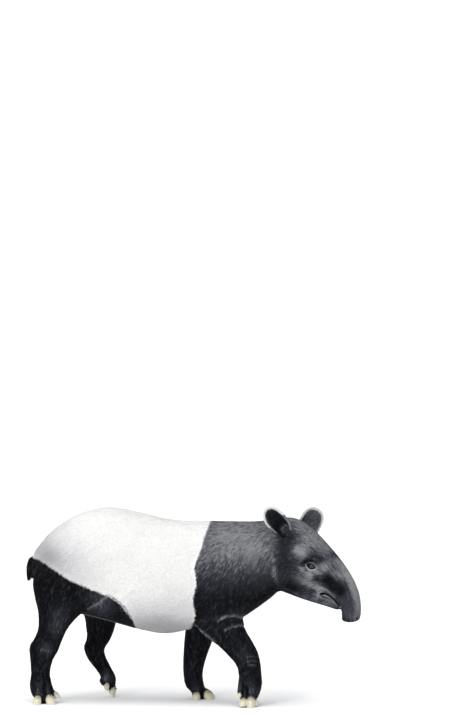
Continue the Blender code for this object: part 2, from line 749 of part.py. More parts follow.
PARTS = [
    Part("tail", ((-1.1, 0.60), (-0.886, 0.60), (-0.886, 0.90), (-1.1, 0.90)), 1, -0.06, 0.06),
    Part("hindleg_right", leg_outline(RIGHT, 0.44, 1.15), 0, -1.00, -0.475),
    Part("hindleg_left", leg_outline(LEFT, 0.44, 1.15), 0, -1.00, -0.415),
    Part("foreleg_right", leg_outline(RIGHT, 0.40, 0.85), 0, 0.015, 0.60),
    Part("foreleg_left", leg_outline(LEFT, 0.39, 0.85), 0, -0.100, 0.60),
    Part("proboscis", ((1.2, 0.2), (1.2, 0.95), (1.02, 0.92), (0.770, 0.44), (0.770, 0.2)), 1, -0.4, 0.4),
    Part("head", ((1.2, 0.2), (1.2, 1.3), (0.525, 1.3), (0.470, 0.5), (0.470, 0.2)), 1, -0.5, 0.5),
    Part("neck", ((1.2, 0.0), (1.2, 1.4), (0.24, 1.4), (0.31, 0.3), (0.31, 0.0)), 1, -0.6, 0.6),
]


def offset(outline, margin):
    """An outline with each side moved out by a margin."""
    count = len(outline)
    area = sum(outline[i - 1][0] * outline[i][1] - outline[i][0] * outline[i - 1][1] for i in range(count))
    sign = 1.0 if area > 0 else -1.0
    made = []
    for i in range(count):
        before, here, after = (np.array(outline[(i + k) % count]) for k in (-1, 0, 1))
        into, out = here - before, after - here
        n1 = sign * np.array((into[1], -into[0])) / np.linalg.norm(into)
        n2 = sign * np.array((out[1], -out[0])) / np.linalg.norm(out)
        made.append(tuple(here + (n1 + n2) * margin / (1.0 + n1 @ n2)))
    return made


def cut_into_parts(body, flesh, shop):
    """Cuts the body into its named pieces, with a thin gap at every cut."""
    made = []
    for part in PARTS:
        piece = add_object(part.node, body.data.copy(), flesh)
        exact = prism("cut", part.outline, part.flat, part.low, part.high, shop)
        wider = offset(part.outline, CUT_GAP)
        roomy = prism("cut", wider, part.flat, part.low - CUT_GAP, part.high + CUT_GAP, shop)
        boolean(piece, exact, "INTERSECT")
        boolean(body, roomy, "DIFFERENCE")
        made.append(largest_piece(piece))
    torso = add_object("torso", body.data.copy(), flesh)
    made.append(largest_piece(torso))
    return made


def turn_head(objects):
    """Turns everything ahead of the neck toward the animal's right, with a bend in the neck."""
    for obj in objects:
        for vert in obj.data.vertices:
            share = float(smooth_step((vert.co.x - NECK_TURN_FROM) / (NECK_TURN_TO - NECK_TURN_FROM)))
            angle = -HEAD_TURN * share
            x, y = vert.co.x - TURN_PIVOT, vert.co.y
            vert.co.x = TURN_PIVOT + x * math.cos(angle) - y * math.sin(angle)
            vert.co.y = x * math.sin(angle) + y * math.cos(angle)
        obj.data.update()


def centre_on_floor(objects):
    """Moves all so that the middle of the whole box stands over the origin."""
    points = np.array([vert.co for obj in objects for vert in obj.data.vertices])
    low, high = points.min(0), points.max(0)
    shift = Vector((-(low[0] + high[0]) / 2, -(low[1] + high[1]) / 2, 0.0))
    for obj in objects:
        for vert in obj.data.vertices:
            vert.co += shift
        obj.data.update()


def material(name, colour, roughness):
    """A plain Principled material."""
    made = bpy.data.materials.new(name)
    made.use_nodes = True
    shader = made.node_tree.nodes["Principled BSDF"]
    shader.inputs["Base Color"].default_value = colour
    shader.inputs["Roughness"].default_value = roughness
    shader.inputs["Metallic"].default_value = 0.0
    made.diffuse_color = colour
    return made


def dress(obj):
    """Gives a finished piece its own material."""
    if obj.name.startswith("hoof"):
        look = (HORN, 0.45)
    elif obj.name.startswith("eye"):
        look = (EYE_BROWN, 0.06)
    elif obj.name == "torso":
        look = (WHITE_COAT, 0.8)
    else:
        look = (BLACK_COAT, 0.75)
    obj.data.materials.clear()
    obj.data.materials.append(material(obj.name, *look))


def main():
    """Builds the animal."""
    for obj in list(bpy.data.objects):
        bpy.data.objects.remove(obj)
    flesh = bpy.data.collections.new("malayan_tapir")
    shop = bpy.data.collections.new(CUTTERS)
    for collection in (flesh, shop):
        bpy.context.scene.collection.children.link(collection)
    body = fused_body(shop)
    model_forms(body.data, FORMS)
    thin_faces(body)
    floor = ground(shop)
    boolean(body, floor, "DIFFERENCE")
    pieces = [eye_and_lids(body, side, flesh, shop) for side in (RIGHT, LEFT)]
    carve_face(body, shop)
    for ear in EARS:
        cup = ear_object(ear, flesh)
        boolean(body, ear_room(ear, shop), "DIFFERENCE")
        boolean(body, grown(cup, CUT_GAP, shop), "DIFFERENCE")
        pieces.append(cup)
    rooms = []
    for toe in TOES:
        nail = add_object(toe.node, mesh_of(toe.node, hoof(toe)), flesh)
        for room in rooms[-2:]:
            boolean(nail, room, "DIFFERENCE")
        boolean(nail, floor, "DIFFERENCE")
        rooms.append(add_object("room", mesh_of("room", hoof(toe, CUT_GAP)), shop))
        boolean(body, rooms[-1], "DIFFERENCE")
        pieces.append(nail)
    pieces += cut_into_parts(body, flesh, shop)
    turn_head(pieces)
    centre_on_floor(pieces)
    for piece in pieces:
        dress(piece)
    for obj in list(shop.objects):
        bpy.data.objects.remove(obj)
    bpy.data.collections.remove(shop)


main()
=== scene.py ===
"""A malayan tapir, life size and in mid stride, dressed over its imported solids.

One hide stands for all the flesh, a short coat of flat tufts lies over it, and the
eyes and nails are pieces of their own.
"""
import logging
import math
from dataclasses import dataclass, field
from enum import Enum

import bmesh
import bpy
import numpy as np
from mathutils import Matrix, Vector
from mathutils.bvhtree import BVHTree


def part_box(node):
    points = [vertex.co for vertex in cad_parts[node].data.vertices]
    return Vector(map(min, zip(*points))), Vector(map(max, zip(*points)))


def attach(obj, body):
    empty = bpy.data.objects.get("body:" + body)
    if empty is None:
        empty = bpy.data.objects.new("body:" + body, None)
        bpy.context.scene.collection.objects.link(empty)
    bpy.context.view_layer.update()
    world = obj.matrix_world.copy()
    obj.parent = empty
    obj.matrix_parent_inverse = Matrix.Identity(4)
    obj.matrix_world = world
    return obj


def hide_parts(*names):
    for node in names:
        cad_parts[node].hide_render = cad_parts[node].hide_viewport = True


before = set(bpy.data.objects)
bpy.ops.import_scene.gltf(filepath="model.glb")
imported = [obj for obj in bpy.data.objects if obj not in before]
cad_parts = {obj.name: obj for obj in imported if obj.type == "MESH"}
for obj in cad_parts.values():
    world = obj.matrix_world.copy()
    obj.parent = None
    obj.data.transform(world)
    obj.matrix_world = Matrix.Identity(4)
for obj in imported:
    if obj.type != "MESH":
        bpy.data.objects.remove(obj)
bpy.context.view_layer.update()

log = logging.getLogger("tapir")

FLESH = (
    "torso", "neck", "head", "proboscis", "tail", "ear_right", "ear_left",
    "foreleg_right", "foreleg_left", "hindleg_right", "hindleg_left",
)
NAILS = tuple(sorted(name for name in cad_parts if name.startswith("hoof_")))
PHOTO_SIZE = (474, 714)
METRES_PER_PIXEL = 0.0055
WELD = 2e-5
RIM_SHARE = 0.45


class Side(Enum):
    """Which flank a form lies on. The tapir's right, at -Y, faces the camera."""

    RIGHT = -1
    LEFT = 1
    BOTH = 0


SIDES = (Side.RIGHT, Side.LEFT)


class Slot(Enum):
    """The record's material slots."""

    WHITE = "white_coat"
    BLACK = "black_coat"
    EYE = "eye"
    NAIL = "hoof_horn"


def smooth_step(values: np.ndarray, low: float = 0.0, high: float = 1.0) -> np.ndarray:
    """A smooth rise from 0 at low to 1 at high."""
    share = np.clip((values - low) / (high - low), 0.0, 1.0)
    return share * share * (3.0 - 2.0 * share)


def blend(values: np.ndarray | float, share: np.ndarray, there: np.ndarray | float) -> np.ndarray:
    """The values where the share is 0, what is given for there where it is 1, and between."""
    return values * (1 - share) + there * share


def bell(gap: np.ndarray, width: float) -> np.ndarray:
    """A soft peak that is 1 where the gap is 0 and dies away over the width."""
    return np.exp(-((gap / width) ** 2))


def unit(vectors: np.ndarray) -> np.ndarray:
    """The vectors at length one."""
    return vectors / np.maximum(np.linalg.norm(vectors, axis=1, keepdims=True), 1e-9)


def distance_to_line(points: np.ndarray, line: tuple[tuple[float, ...], ...]) -> np.ndarray:
    """How far each point is from a run of straight stretches.

    Args:
        points: Points in two or three dimensions.
        line: The run's corners, in the same dimensions.

    Returns:
        The distance of each point in metres.
    """
    corners = np.array(line, float)
    if len(corners) == 1:
        return np.linalg.norm(points - corners[0], axis=1)
    nearest = np.full(len(points), np.inf)
    for start, end in zip(corners, corners[1:]):
        span = end - start
        along = np.clip((points - start) @ span / (span @ span), 0.0, 1.0)
        nearest = np.minimum(nearest, np.linalg.norm(points - start - along[:, None] * span, axis=1))
    return nearest


def read(data: bpy.types.bpy_prop_collection, name: str, width: int = 1, kind: type = np.int32) -> np.ndarray:
    """One value, or one row of values, of each element of a mesh."""
    values = np.empty(len(data) * width, kind)
    data.foreach_get(name, values)
    return values.reshape(-1, width) if width > 1 else values


def read_vectors(data: bpy.types.bpy_prop_collection, name: str = "co") -> np.ndarray:
    """One vector of each element of a mesh, as rows."""
    return read(data, name, 3, np.float32).astype(float)


def read_values(mesh: bpy.types.Mesh, name: str) -> np.ndarray:
    """The numbers stored on the vertices under a name."""
    return read(mesh.attributes[name].data, "value", 1, np.float32).astype(float)


def write_values(mesh: bpy.types.Mesh, name: str, values: np.ndarray) -> None:
    """Stores one number or direction for each vertex under a name that finishes and node trees read."""
    kind, key = ("FLOAT", "value") if values.ndim == 1 else ("FLOAT_VECTOR", "vector")
    made = mesh.attributes.new(name, kind, "POINT")
    made.data.foreach_set(key, values.astype(np.float32).ravel())


def write_points(mesh: bpy.types.Mesh, points: np.ndarray) -> None:
    """Moves the mesh's vertices to the given points."""
    mesh.vertices.foreach_set("co", points.astype(np.float32).ravel())
    mesh.update()


def to_mesh(work: bmesh.types.BMesh, name: str) -> bpy.types.Mesh:
    """A named mesh of a working mesh, which is freed."""
    mesh = bpy.data.meshes.new(name)
    work.to_mesh(mesh)
    work.free()
    return mesh


def triangle_mesh(name: str, points: np.ndarray, faces: np.ndarray) -> bpy.types.Mesh:
    """A mesh of triangles from arrays.

    Args:
        name: The mesh's name.
        points: One row of coordinates for each vertex.
        faces: Three vertex numbers for each triangle.

    Returns:
        The new mesh.
    """
    mesh = bpy.data.meshes.new(name)
    mesh.vertices.add(len(points))
    mesh.vertices.foreach_set("co", points.astype(np.float32).ravel())
    mesh.loops.add(faces.size)
    mesh.loops.foreach_set("vertex_index", faces.astype(np.int32).ravel())
    mesh.polygons.add(len(faces))
    mesh.polygons.foreach_set("loop_start", np.arange(0, faces.size, 3, dtype=np.int32))
    mesh.update(calc_edges=True)
    return mesh


def place(name: str, mesh: bpy.types.Mesh) -> bpy.types.Object:
    """A new object at the origin that shows the mesh."""
    made = bpy.data.objects.new(name, mesh)
    bpy.context.scene.collection.objects.link(made)
    return made


def modify(obj: bpy.types.Object, kind: str, **settings: object) -> None:
    """Adds a modifier with its settings."""
    made = obj.modifiers.new(kind.lower(), kind)
    for name, value in settings.items():
        setattr(made, name, value)


def evaluated(obj: bpy.types.Object) -> bpy.types.Mesh:
    """A plain mesh of what the object's modifiers make."""
    graph = bpy.context.evaluated_depsgraph_get()
    graph.update()
    return bpy.data.meshes.new_from_object(obj.evaluated_get(graph))


def settle(obj: bpy.types.Object) -> bpy.types.Object:
    """Turns the object's modifiers into plain mesh and takes them and their weights off."""
    made = evaluated(obj)
    old = obj.data
    obj.modifiers.clear()
    obj.data = made
    bpy.data.meshes.remove(old)
    obj.vertex_groups.clear()
    return obj


def set_group(obj: bpy.types.Object, weights: np.ndarray, levels: int = 24) -> str:
    """Stores weights from 0 to 1 in a vertex group, in a few steps, and returns its name."""
    group = obj.vertex_groups.new(name="share")
    steps = np.rint(np.clip(weights, 0.0, 1.0) * levels).astype(int)
    for step in np.unique(steps):
        group.add(np.nonzero(steps == step)[0].tolist(), step / levels, "REPLACE")
    return group.name


def solid_tree(names: tuple[str, ...]) -> tuple[BVHTree, list[int]]:
    """A search tree of some solids.

    Args:
        names: The solids' nodes.

    Returns:
        The tree, and the number in names of the solid that each face belongs to.
    """
    points, faces, owner = [], [], []
    for number, name in enumerate(names):
        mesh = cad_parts[name].data
        faces += [[len(points) + i for i in face.vertices] for face in mesh.polygons]
        points += [vert.co.copy() for vert in mesh.vertices]
        owner += [number] * len(mesh.polygons)
    return BVHTree.FromPolygons(points, faces), owner


def middle_of(name: str) -> Vector:
    """The middle of a node's box."""
    low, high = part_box(name)
    return (low + high) / 2


def eye_middle(side: Side) -> Vector:
    """The middle of an eye's solid."""
    return middle_of("eye_" + side.name.lower())


@dataclass(frozen=True)
class NeckTurn:
    """The turn of the head, which takes the straight animal to the one in the pose."""

    angle: float = math.radians(12.0)
    start: float = 0.34
    end: float = 0.47
    pivot: float = 0.40
    shift: tuple[float, float] = (-0.017220, 0.000284)
    rounds: int = 30

    def straight(self, points: np.ndarray) -> tuple[np.ndarray, np.ndarray]:
        """Finds where points of the model lie on the straight animal.

        Args:
            points: Points of the model.

        Returns:
            The points on the straight animal, and the angle that each was turned by.
        """
        x, y = points[:, 0] - self.shift[0] - self.pivot, points[:, 1] - self.shift[1]
        angle = np.full(len(points), self.angle)
        for _ in range(self.rounds):
            ahead = self.pivot + x * np.cos(angle) - y * np.sin(angle)
            angle = self.angle * smooth_step(ahead, self.start, self.end)
        aside = x * np.sin(angle) + y * np.cos(angle)
        return np.column_stack([ahead, aside, points[:, 2]]), angle

    def turned(self, vectors: np.ndarray, angle: np.ndarray) -> np.ndarray:
        """Turns directions of the straight animal as the model is turned there."""
        x, y = vectors[:, 0], vectors[:, 1]
        return np.column_stack(
            [x * np.cos(angle) + y * np.sin(angle), -x * np.sin(angle) + y * np.cos(angle), vectors[:, 2]]
        )


TURN = NeckTurn()


@dataclass(frozen=True)
class Line:
    """A soft line in side view of the straight animal: a fold that sinks the hide, or a painted highlight.

    The amount is the depth of a fold, below 0 for a ridge, or how much the painted highlight lightens the
    coat.
    """

    corners: tuple[tuple[float, float], ...]
    width: float
    amount: float
    side: Side = Side.BOTH

    def on(self, points: np.ndarray) -> tuple[np.ndarray, np.ndarray]:
        """Finds where the line lies.

        Args:
            points: Points on the straight animal.

        Returns:
            Which points it reaches, and its amount at each of those.
        """
        flat = points[:, [0, 2]]
        margin = 3 * self.width
        low, high = np.min(self.corners, 0) - margin, np.max(self.corners, 0) + margin
        near = np.all((flat > low) & (flat < high), axis=1)
        if self.side is not Side.BOTH:
            near &= points[:, 1] * self.side.value > 0
        return near, self.amount * bell(distance_to_line(flat[near], self.corners), self.width)


FORMS = (
    Line(((0.169, 0.460), (0.217, 0.487), (0.270, 0.489), (0.307, 0.479)), 0.008, 0.0065, Side.RIGHT),
    Line(((0.165, 0.478), (0.215, 0.505), (0.272, 0.507), (0.307, 0.498)), 0.010, -0.0045, Side.RIGHT),
    Line(((0.212, 0.412), (0.258, 0.433), (0.296, 0.439), (0.312, 0.435)), 0.007, 0.0055, Side.RIGHT),
    Line(((0.212, 0.430), (0.258, 0.451), (0.296, 0.457), (0.314, 0.452)), 0.009, -0.0035, Side.RIGHT),
    Line(((-0.549, 0.516), (-0.490, 0.554), (-0.416, 0.600)), 0.009, 0.0050, Side.RIGHT),
    Line(((0.000, 0.452), (0.045, 0.478), (0.100, 0.482), (0.140, 0.470)), 0.008, 0.0035, Side.LEFT),
    Line(((0.325, 0.274), (0.365, 0.277), (0.405, 0.271)), 0.0045, 0.0028, Side.RIGHT),
    Line(((0.328, 0.258), (0.368, 0.261), (0.410, 0.254)), 0.0045, 0.0030, Side.RIGHT),
    Line(((0.328, 0.242), (0.368, 0.244), (0.412, 0.238)), 0.0045, 0.0030, Side.RIGHT),
    Line(((0.330, 0.226), (0.368, 0.227), (0.408, 0.222)), 0.0045, 0.0026, Side.RIGHT),
    Line(((-0.050, 0.255), (0.000, 0.258), (0.060, 0.252)), 0.0050, 0.0020, Side.LEFT),
    Line(((-0.050, 0.236), (0.000, 0.238), (0.060, 0.233)), 0.0050, 0.0020, Side.LEFT),
    Line(((0.488, 0.850), (0.500, 0.805), (0.503, 0.749), (0.513, 0.693), (0.528, 0.647)), 0.011, 0.0055),
    Line(((0.462, 0.850), (0.474, 0.800), (0.478, 0.749), (0.490, 0.690)), 0.016, -0.0035),
    Line(((0.575, 0.725), (0.625, 0.688), (0.679, 0.666), (0.730, 0.672)), 0.012, -0.0035),
    Line(((0.600, 0.690), (0.645, 0.655)), 0.040, -0.0035),
    Line(((0.560, 0.650), (0.643, 0.608), (0.747, 0.578), (0.835, 0.551)), 0.010, -0.0020),
    Line(((0.676, 0.800), (0.705, 0.812), (0.742, 0.800)), 0.011, -0.0050),
    Line(((0.640, 0.835), (0.665, 0.860)), 0.030, -0.0035),
    Line(((0.625, 0.795), (0.660, 0.790)), 0.016, 0.0040),
    Line(((0.740, 0.758), (0.775, 0.736), (0.812, 0.706)), 0.011, 0.0035),
    Line(((0.780, 0.775), (0.830, 0.742), (0.870, 0.690)), 0.016, -0.0030),
    Line(((0.742, 0.640), (0.768, 0.655), (0.800, 0.645), (0.838, 0.612), (0.868, 0.576)), 0.010, -0.0040),
    Line(((0.735, 0.600), (0.738, 0.630)), 0.012, -0.0030),
    Line(((0.760, 0.595), (0.800, 0.580), (0.835, 0.560)), 0.009, -0.0025),
    Line(((0.044, 0.433), (0.103, 0.397), (0.154, 0.354)), 0.013, -0.0030, Side.RIGHT),
    Line(((-0.286, 0.642), (-0.362, 0.583), (-0.435, 0.533)), 0.014, -0.0050),
    Line(((-0.350, 0.640), (-0.420, 0.580), (-0.480, 0.530)), 0.020, 0.0050),
    Line(((-0.793, 0.309), (-0.756, 0.297)), 0.0050, 0.0022, Side.RIGHT),
    Line(((-0.788, 0.286), (-0.752, 0.274)), 0.0050, 0.0022, Side.RIGHT),
    Line(((0.100, 0.930), (0.140, 0.800), (0.170, 0.660)), 0.032, -0.0045),
    Line(((0.215, 0.940), (0.248, 0.800), (0.252, 0.680)), 0.030, 0.0045),
    Line(((-0.600, 0.900), (-0.660, 0.780), (-0.680, 0.660)), 0.045, -0.0045),
    Line(((-0.500, 0.900), (-0.540, 0.780), (-0.520, 0.680)), 0.045, 0.0045),
)
# Painted highlights along the ridges of folds and wrinkles, and along the edges of the jaw, mouth, near thigh
# and near foreleg.
GLINTS = (
    Line(((0.175, 0.476), (0.217, 0.501), (0.270, 0.503), (0.305, 0.494)), 0.0075, 0.58, Side.RIGHT),
    Line(((0.217, 0.427), (0.258, 0.446), (0.296, 0.452), (0.312, 0.448)), 0.0070, 0.52, Side.RIGHT),
    Line(((0.342, 0.282), (0.368, 0.285), (0.394, 0.281)), 0.0042, 0.36, Side.RIGHT),
    Line(((0.342, 0.257), (0.370, 0.260), (0.400, 0.254)), 0.0042, 0.44, Side.RIGHT),
    Line(((0.345, 0.235), (0.370, 0.237), (0.396, 0.232)), 0.0042, 0.34, Side.RIGHT),
    Line(((0.490, 0.775), (0.496, 0.735), (0.506, 0.690)), 0.0130, 0.20),
    Line(((0.560, 0.650), (0.643, 0.608), (0.747, 0.578), (0.835, 0.551)), 0.0070, 0.16),
    Line(((0.742, 0.610), (0.744, 0.634), (0.766, 0.652), (0.800, 0.641), (0.838, 0.608)), 0.0070, 0.55),
    Line(((-0.549, 0.524), (-0.490, 0.562), (-0.416, 0.608)), 0.0065, 0.46, Side.RIGHT),
    Line(((0.044, 0.440), (0.103, 0.403), (0.154, 0.360)), 0.0075, 0.60, Side.RIGHT),
    Line(((-0.792, 0.305), (-0.754, 0.292)), 0.0090, 0.14, Side.RIGHT),
)


@dataclass(frozen=True)
class Stroke:
    """The direction in which the coat lies at one place, in side view of the straight animal."""

    x: float
    z: float
    ahead: float
    up: float
    reach: float


LIE = tuple(Stroke(*row) for row in (
    (0.945, 0.520, 0.05, 1.00, 0.05), (0.905, 0.600, -0.15, 1.00, 0.05),
    (0.860, 0.700, -0.55, 0.80, 0.06), (0.800, 0.640, -0.90, 0.20, 0.05),
    (0.790, 0.800, -0.75, 0.60, 0.06), (0.700, 0.880, -0.90, 0.40, 0.06),
    (0.640, 0.960, -1.00, 0.10, 0.06), (0.730, 0.700, -1.00, -0.10, 0.06),
    (0.650, 0.780, -1.00, 0.00, 0.06), (0.660, 0.620, -0.90, -0.30, 0.06),
    (0.560, 0.680, -0.80, -0.60, 0.07), (0.540, 0.880, -0.90, -0.20, 0.07),
    (0.500, 1.020, -1.00, 0.00, 0.07), (0.420, 0.820, -0.55, -0.80, 0.10),
    (0.430, 0.600, -0.45, -0.90, 0.10), (0.340, 0.980, -0.90, -0.40, 0.09),
    (0.250, 0.780, -0.50, -0.85, 0.12), (0.260, 0.560, -0.35, -0.95, 0.12),
    (0.130, 1.000, -1.00, -0.20, 0.10), (0.060, 0.700, -0.60, -0.80, 0.12),
    (0.020, 0.480, -0.80, -0.50, 0.10), (-0.200, 1.020, -1.00, -0.10, 0.14),
    (-0.200, 0.750, -0.80, -0.60, 0.16), (-0.200, 0.480, -0.95, -0.15, 0.14),
    (-0.500, 1.040, -1.00, -0.10, 0.14), (-0.480, 0.760, -0.70, -0.70, 0.14),
    (-0.700, 0.900, -0.75, -0.65, 0.12), (-0.850, 0.820, -0.35, -0.95, 0.10),
    (-0.650, 0.620, -0.40, -0.90, 0.12), (-0.480, 0.540, -0.30, -0.95, 0.08),
    (-0.780, 0.450, -0.15, -1.00, 0.12), (-0.450, 0.350, -0.10, -1.00, 0.10),
    (0.250, 0.350, -0.10, -1.00, 0.12), (0.000, 0.300, -0.10, -1.00, 0.10),
    (-0.700, 0.150, -0.05, -1.00, 0.15), (0.200, 0.120, 0.05, -1.00, 0.15),
    (-0.900, 0.720, -0.10, -1.00, 0.05),
))


@dataclass(frozen=True)
class Tone:
    """A soft round spot in side view where the coat is painted lighter or darker than round it: a painted
    highlight or a painted shade, by its amount's sign.
    """

    x: float
    z: float
    radius: float
    amount: float


# Painted highlights (amount above 0) and painted shade (below 0) on the black coat, most of them on the head
# and legs.
BLACK_HIGHLIGHTS_AND_SHADE = tuple(Tone(*row) for row in (
    (0.645, 0.862, 0.024, 0.58), (0.668, 0.836, 0.020, 0.34), (0.690, 0.900, 0.034, 0.20),
    (0.780, 0.768, 0.020, 0.52), (0.752, 0.776, 0.012, 0.20), (0.664, 0.760, 0.014, 0.42),
    (0.707, 0.733, 0.017, 0.82), (0.740, 0.742, 0.013, 0.42), (0.722, 0.820, 0.013, -0.36),
    (0.758, 0.806, 0.014, -0.30), (0.682, 0.802, 0.010, -0.28), (0.700, 0.802, 0.009, -0.24),
    (0.668, 0.780, 0.009, -0.24), (0.824, 0.837, 0.020, -0.40), (0.800, 0.700, 0.020, -0.32),
    (0.835, 0.668, 0.022, -0.36), (0.868, 0.640, 0.022, -0.34), (0.830, 0.734, 0.013, 0.24),
    (0.856, 0.714, 0.013, 0.26), (0.634, 0.715, 0.018, 0.18), (0.668, 0.697, 0.018, 0.42),
    (0.705, 0.678, 0.018, 0.46), (0.738, 0.662, 0.015, 0.44), (0.768, 0.646, 0.013, 0.60),
    (0.800, 0.572, 0.016, 0.20), (0.740, 0.610, 0.022, 0.16), (0.930, 0.490, 0.024, 0.08),
    (0.880, 0.470, 0.018, -0.22), (0.500, 0.745, 0.016, 0.18), (0.490, 0.810, 0.016, 0.16),
    (0.560, 0.800, 0.050, -0.17), (0.600, 0.660, 0.045, -0.22), (0.560, 0.905, 0.030, -0.12),
    (0.600, 0.935, 0.022, -0.16), (0.745, 0.712, 0.014, -0.22), (0.250, 0.900, 0.110, 0.26),
    (0.400, 0.850, 0.060, 0.16), (0.290, 0.500, 0.030, 0.05), (-0.690, 0.500, 0.040, 0.12),
    (-0.715, 0.430, 0.032, 0.17), (-0.770, 0.310, 0.026, 0.20), (-0.470, 0.550, 0.055, 0.30),
    (0.320, 0.300, 0.030, 0.08),
))
# Painted shade on the white coat (amount above 0, greyer) on the belly and round the rump, where it is partly
# a grey tint, and a painted highlight on the flank fold (below 0).
WHITE_SHADE_AND_HIGHLIGHTS = tuple(Tone(*row) for row in (
    (-0.700, 0.790, 0.120, 0.60), (-0.810, 0.830, 0.090, 0.48), (-0.560, 0.690, 0.090, 0.26),
    (-0.080, 0.500, 0.110, 0.22), (-0.240, 0.530, 0.100, 0.20), (0.040, 0.600, 0.050, 0.18),
    (0.070, 0.850, 0.050, 0.22), (-0.330, 0.600, 0.060, -0.18),
))


@dataclass(frozen=True)
class Markings:
    """Where the coat is white, and how light or grey it is over the whole animal, which is mostly painted
    light and shade.
    """

    front: tuple[tuple[float, float], ...] = (
        (0.380, -0.010), (0.433, 0.022), (0.470, 0.044), (0.500, 0.051), (0.538, 0.048),
        (0.601, 0.043), (0.668, 0.064), (0.734, 0.057), (0.767, 0.051), (0.805, 0.061),
        (0.874, 0.088), (0.950, 0.103), (1.000, 0.114), (1.100, 0.122),
    )
    front_left: tuple[tuple[float, float], ...] = (
        (0.380, -0.170), (0.433, -0.150), (0.500, -0.080), (0.560, 0.000), (0.620, 0.050),
    )
    rear: tuple[tuple[float, float], ...] = (
        (-1.000, 0.800), (-0.895, 0.796), (-0.830, 0.790), (-0.780, 0.773), (-0.708, 0.731),
        (-0.638, 0.687), (-0.544, 0.646), (-0.438, 0.605), (-0.385, 0.588), (-0.352, 0.555),
        (-0.322, 0.516), (-0.301, 0.475), (-0.291, 0.440), (-0.284, 0.370),
    )
    rear_slope: float = 0.86
    softness: float = 3.0

    def edge(self, points: np.ndarray) -> np.ndarray:
        """How far each point is inside the white saddle, in metres, and below 0 outside it."""
        front = np.interp(points[:, 2], *np.array(self.front).T)
        left = np.interp(points[:, 2], *np.array(self.front_left).T)
        far = smooth_step(points[:, 1], -0.02, 0.09) * smooth_step(-points[:, 2], -0.62, -0.55)
        front = blend(front, far, np.minimum(left, front))
        rear = (points[:, 2] - np.interp(points[:, 0], *np.array(self.rear).T)) * self.rear_slope
        belly = ((points[:, 0] + 0.33) / 0.07) ** 2 + ((points[:, 2] - 0.51) / 0.08) ** 2
        rear /= 1.0 + self.softness * np.exp(-belly / 2)
        return np.minimum(front - points[:, 0], rear)

    def black_painted_light(self, points: np.ndarray, normals: np.ndarray) -> np.ndarray:
        """How light the black coat is painted, from 0 to 1: painted sheen on top, painted shade underneath,
        painted highlights on the face, folds and edges, and painted spots of highlight and shade.

        Args:
            points: Points on the straight animal.
            normals: The hide's normals there, also on the straight animal.

        Returns:
            The painted lightness of each point.
        """
        x, down = points[:, 0], -normals[:, 2]
        head = smooth_step(x, 0.47, 0.56)
        # Painted sheen of the overhead light on the upper neck and shoulders, partly greyer hair on top.
        body = 0.52 * smooth_step(points[:, 2], 0.58, 0.93) + 0.02
        body *= smooth_step(x, -0.30, 0.00)
        # Painted highlights where the face turns forward and up, and on the front of the snout, over a base
        # lightness for the face.
        ridge = normals[:, 0] * 0.62 + normals[:, 2] * 0.78
        face = 0.25 + 0.40 * smooth_step(ridge, 0.30, 0.90)
        face += 0.26 * smooth_step(normals[:, 0], 0.35, 0.80) * smooth_step(x, 0.82, 0.90)
        light = blend(body, head, face)
        # Painted shade where the hide faces down.
        light -= 0.10 * smooth_step(down, 0.2, 0.9)
        # A painted rim of light along the keel of the belly.
        keel = smooth_step(down, 0.80, 0.96) * smooth_step(x, -0.60, -0.55)
        light += 0.45 * keel * smooth_step(-x, 0.30, 0.34) * smooth_step(-np.abs(points[:, 1]), -0.12, -0.08)
        # Painted highlights and painted shade in soft spots, then painted highlights along the folds and
        # edges.
        light += self.spots(points, BLACK_HIGHLIGHTS_AND_SHADE)
        for glint in GLINTS:
            near, amount = glint.on(points)
            light[near] += amount
        return np.clip(light, 0.0, 1.0)

    def white_grey_and_shade(self, points: np.ndarray) -> np.ndarray:
        """How grey the white coat is, from 0 to 1: painted shade lower down and in soft spots, partly a grey
        tint round the rump, and a painted highlight on the flank fold.
        """
        # Painted shade: the white coat greyer lower down, toward the belly.
        grey = 0.02 + 0.64 * smooth_step(-points[:, 2], -0.62, -0.42)
        return np.clip(grey + self.spots(points, WHITE_SHADE_AND_HIGHLIGHTS), 0.0, 1.0)

    @staticmethod
    def spots(points: np.ndarray, tones: tuple[Tone, ...]) -> np.ndarray:
        """The sum of soft round spots in side view."""
        total = np.zeros(len(points))
        for tone in tones:
            gap = (points[:, 0] - tone.x) ** 2 + (points[:, 2] - tone.z) ** 2
            total += tone.amount * np.exp(-gap / (2 * tone.radius**2))
        return total


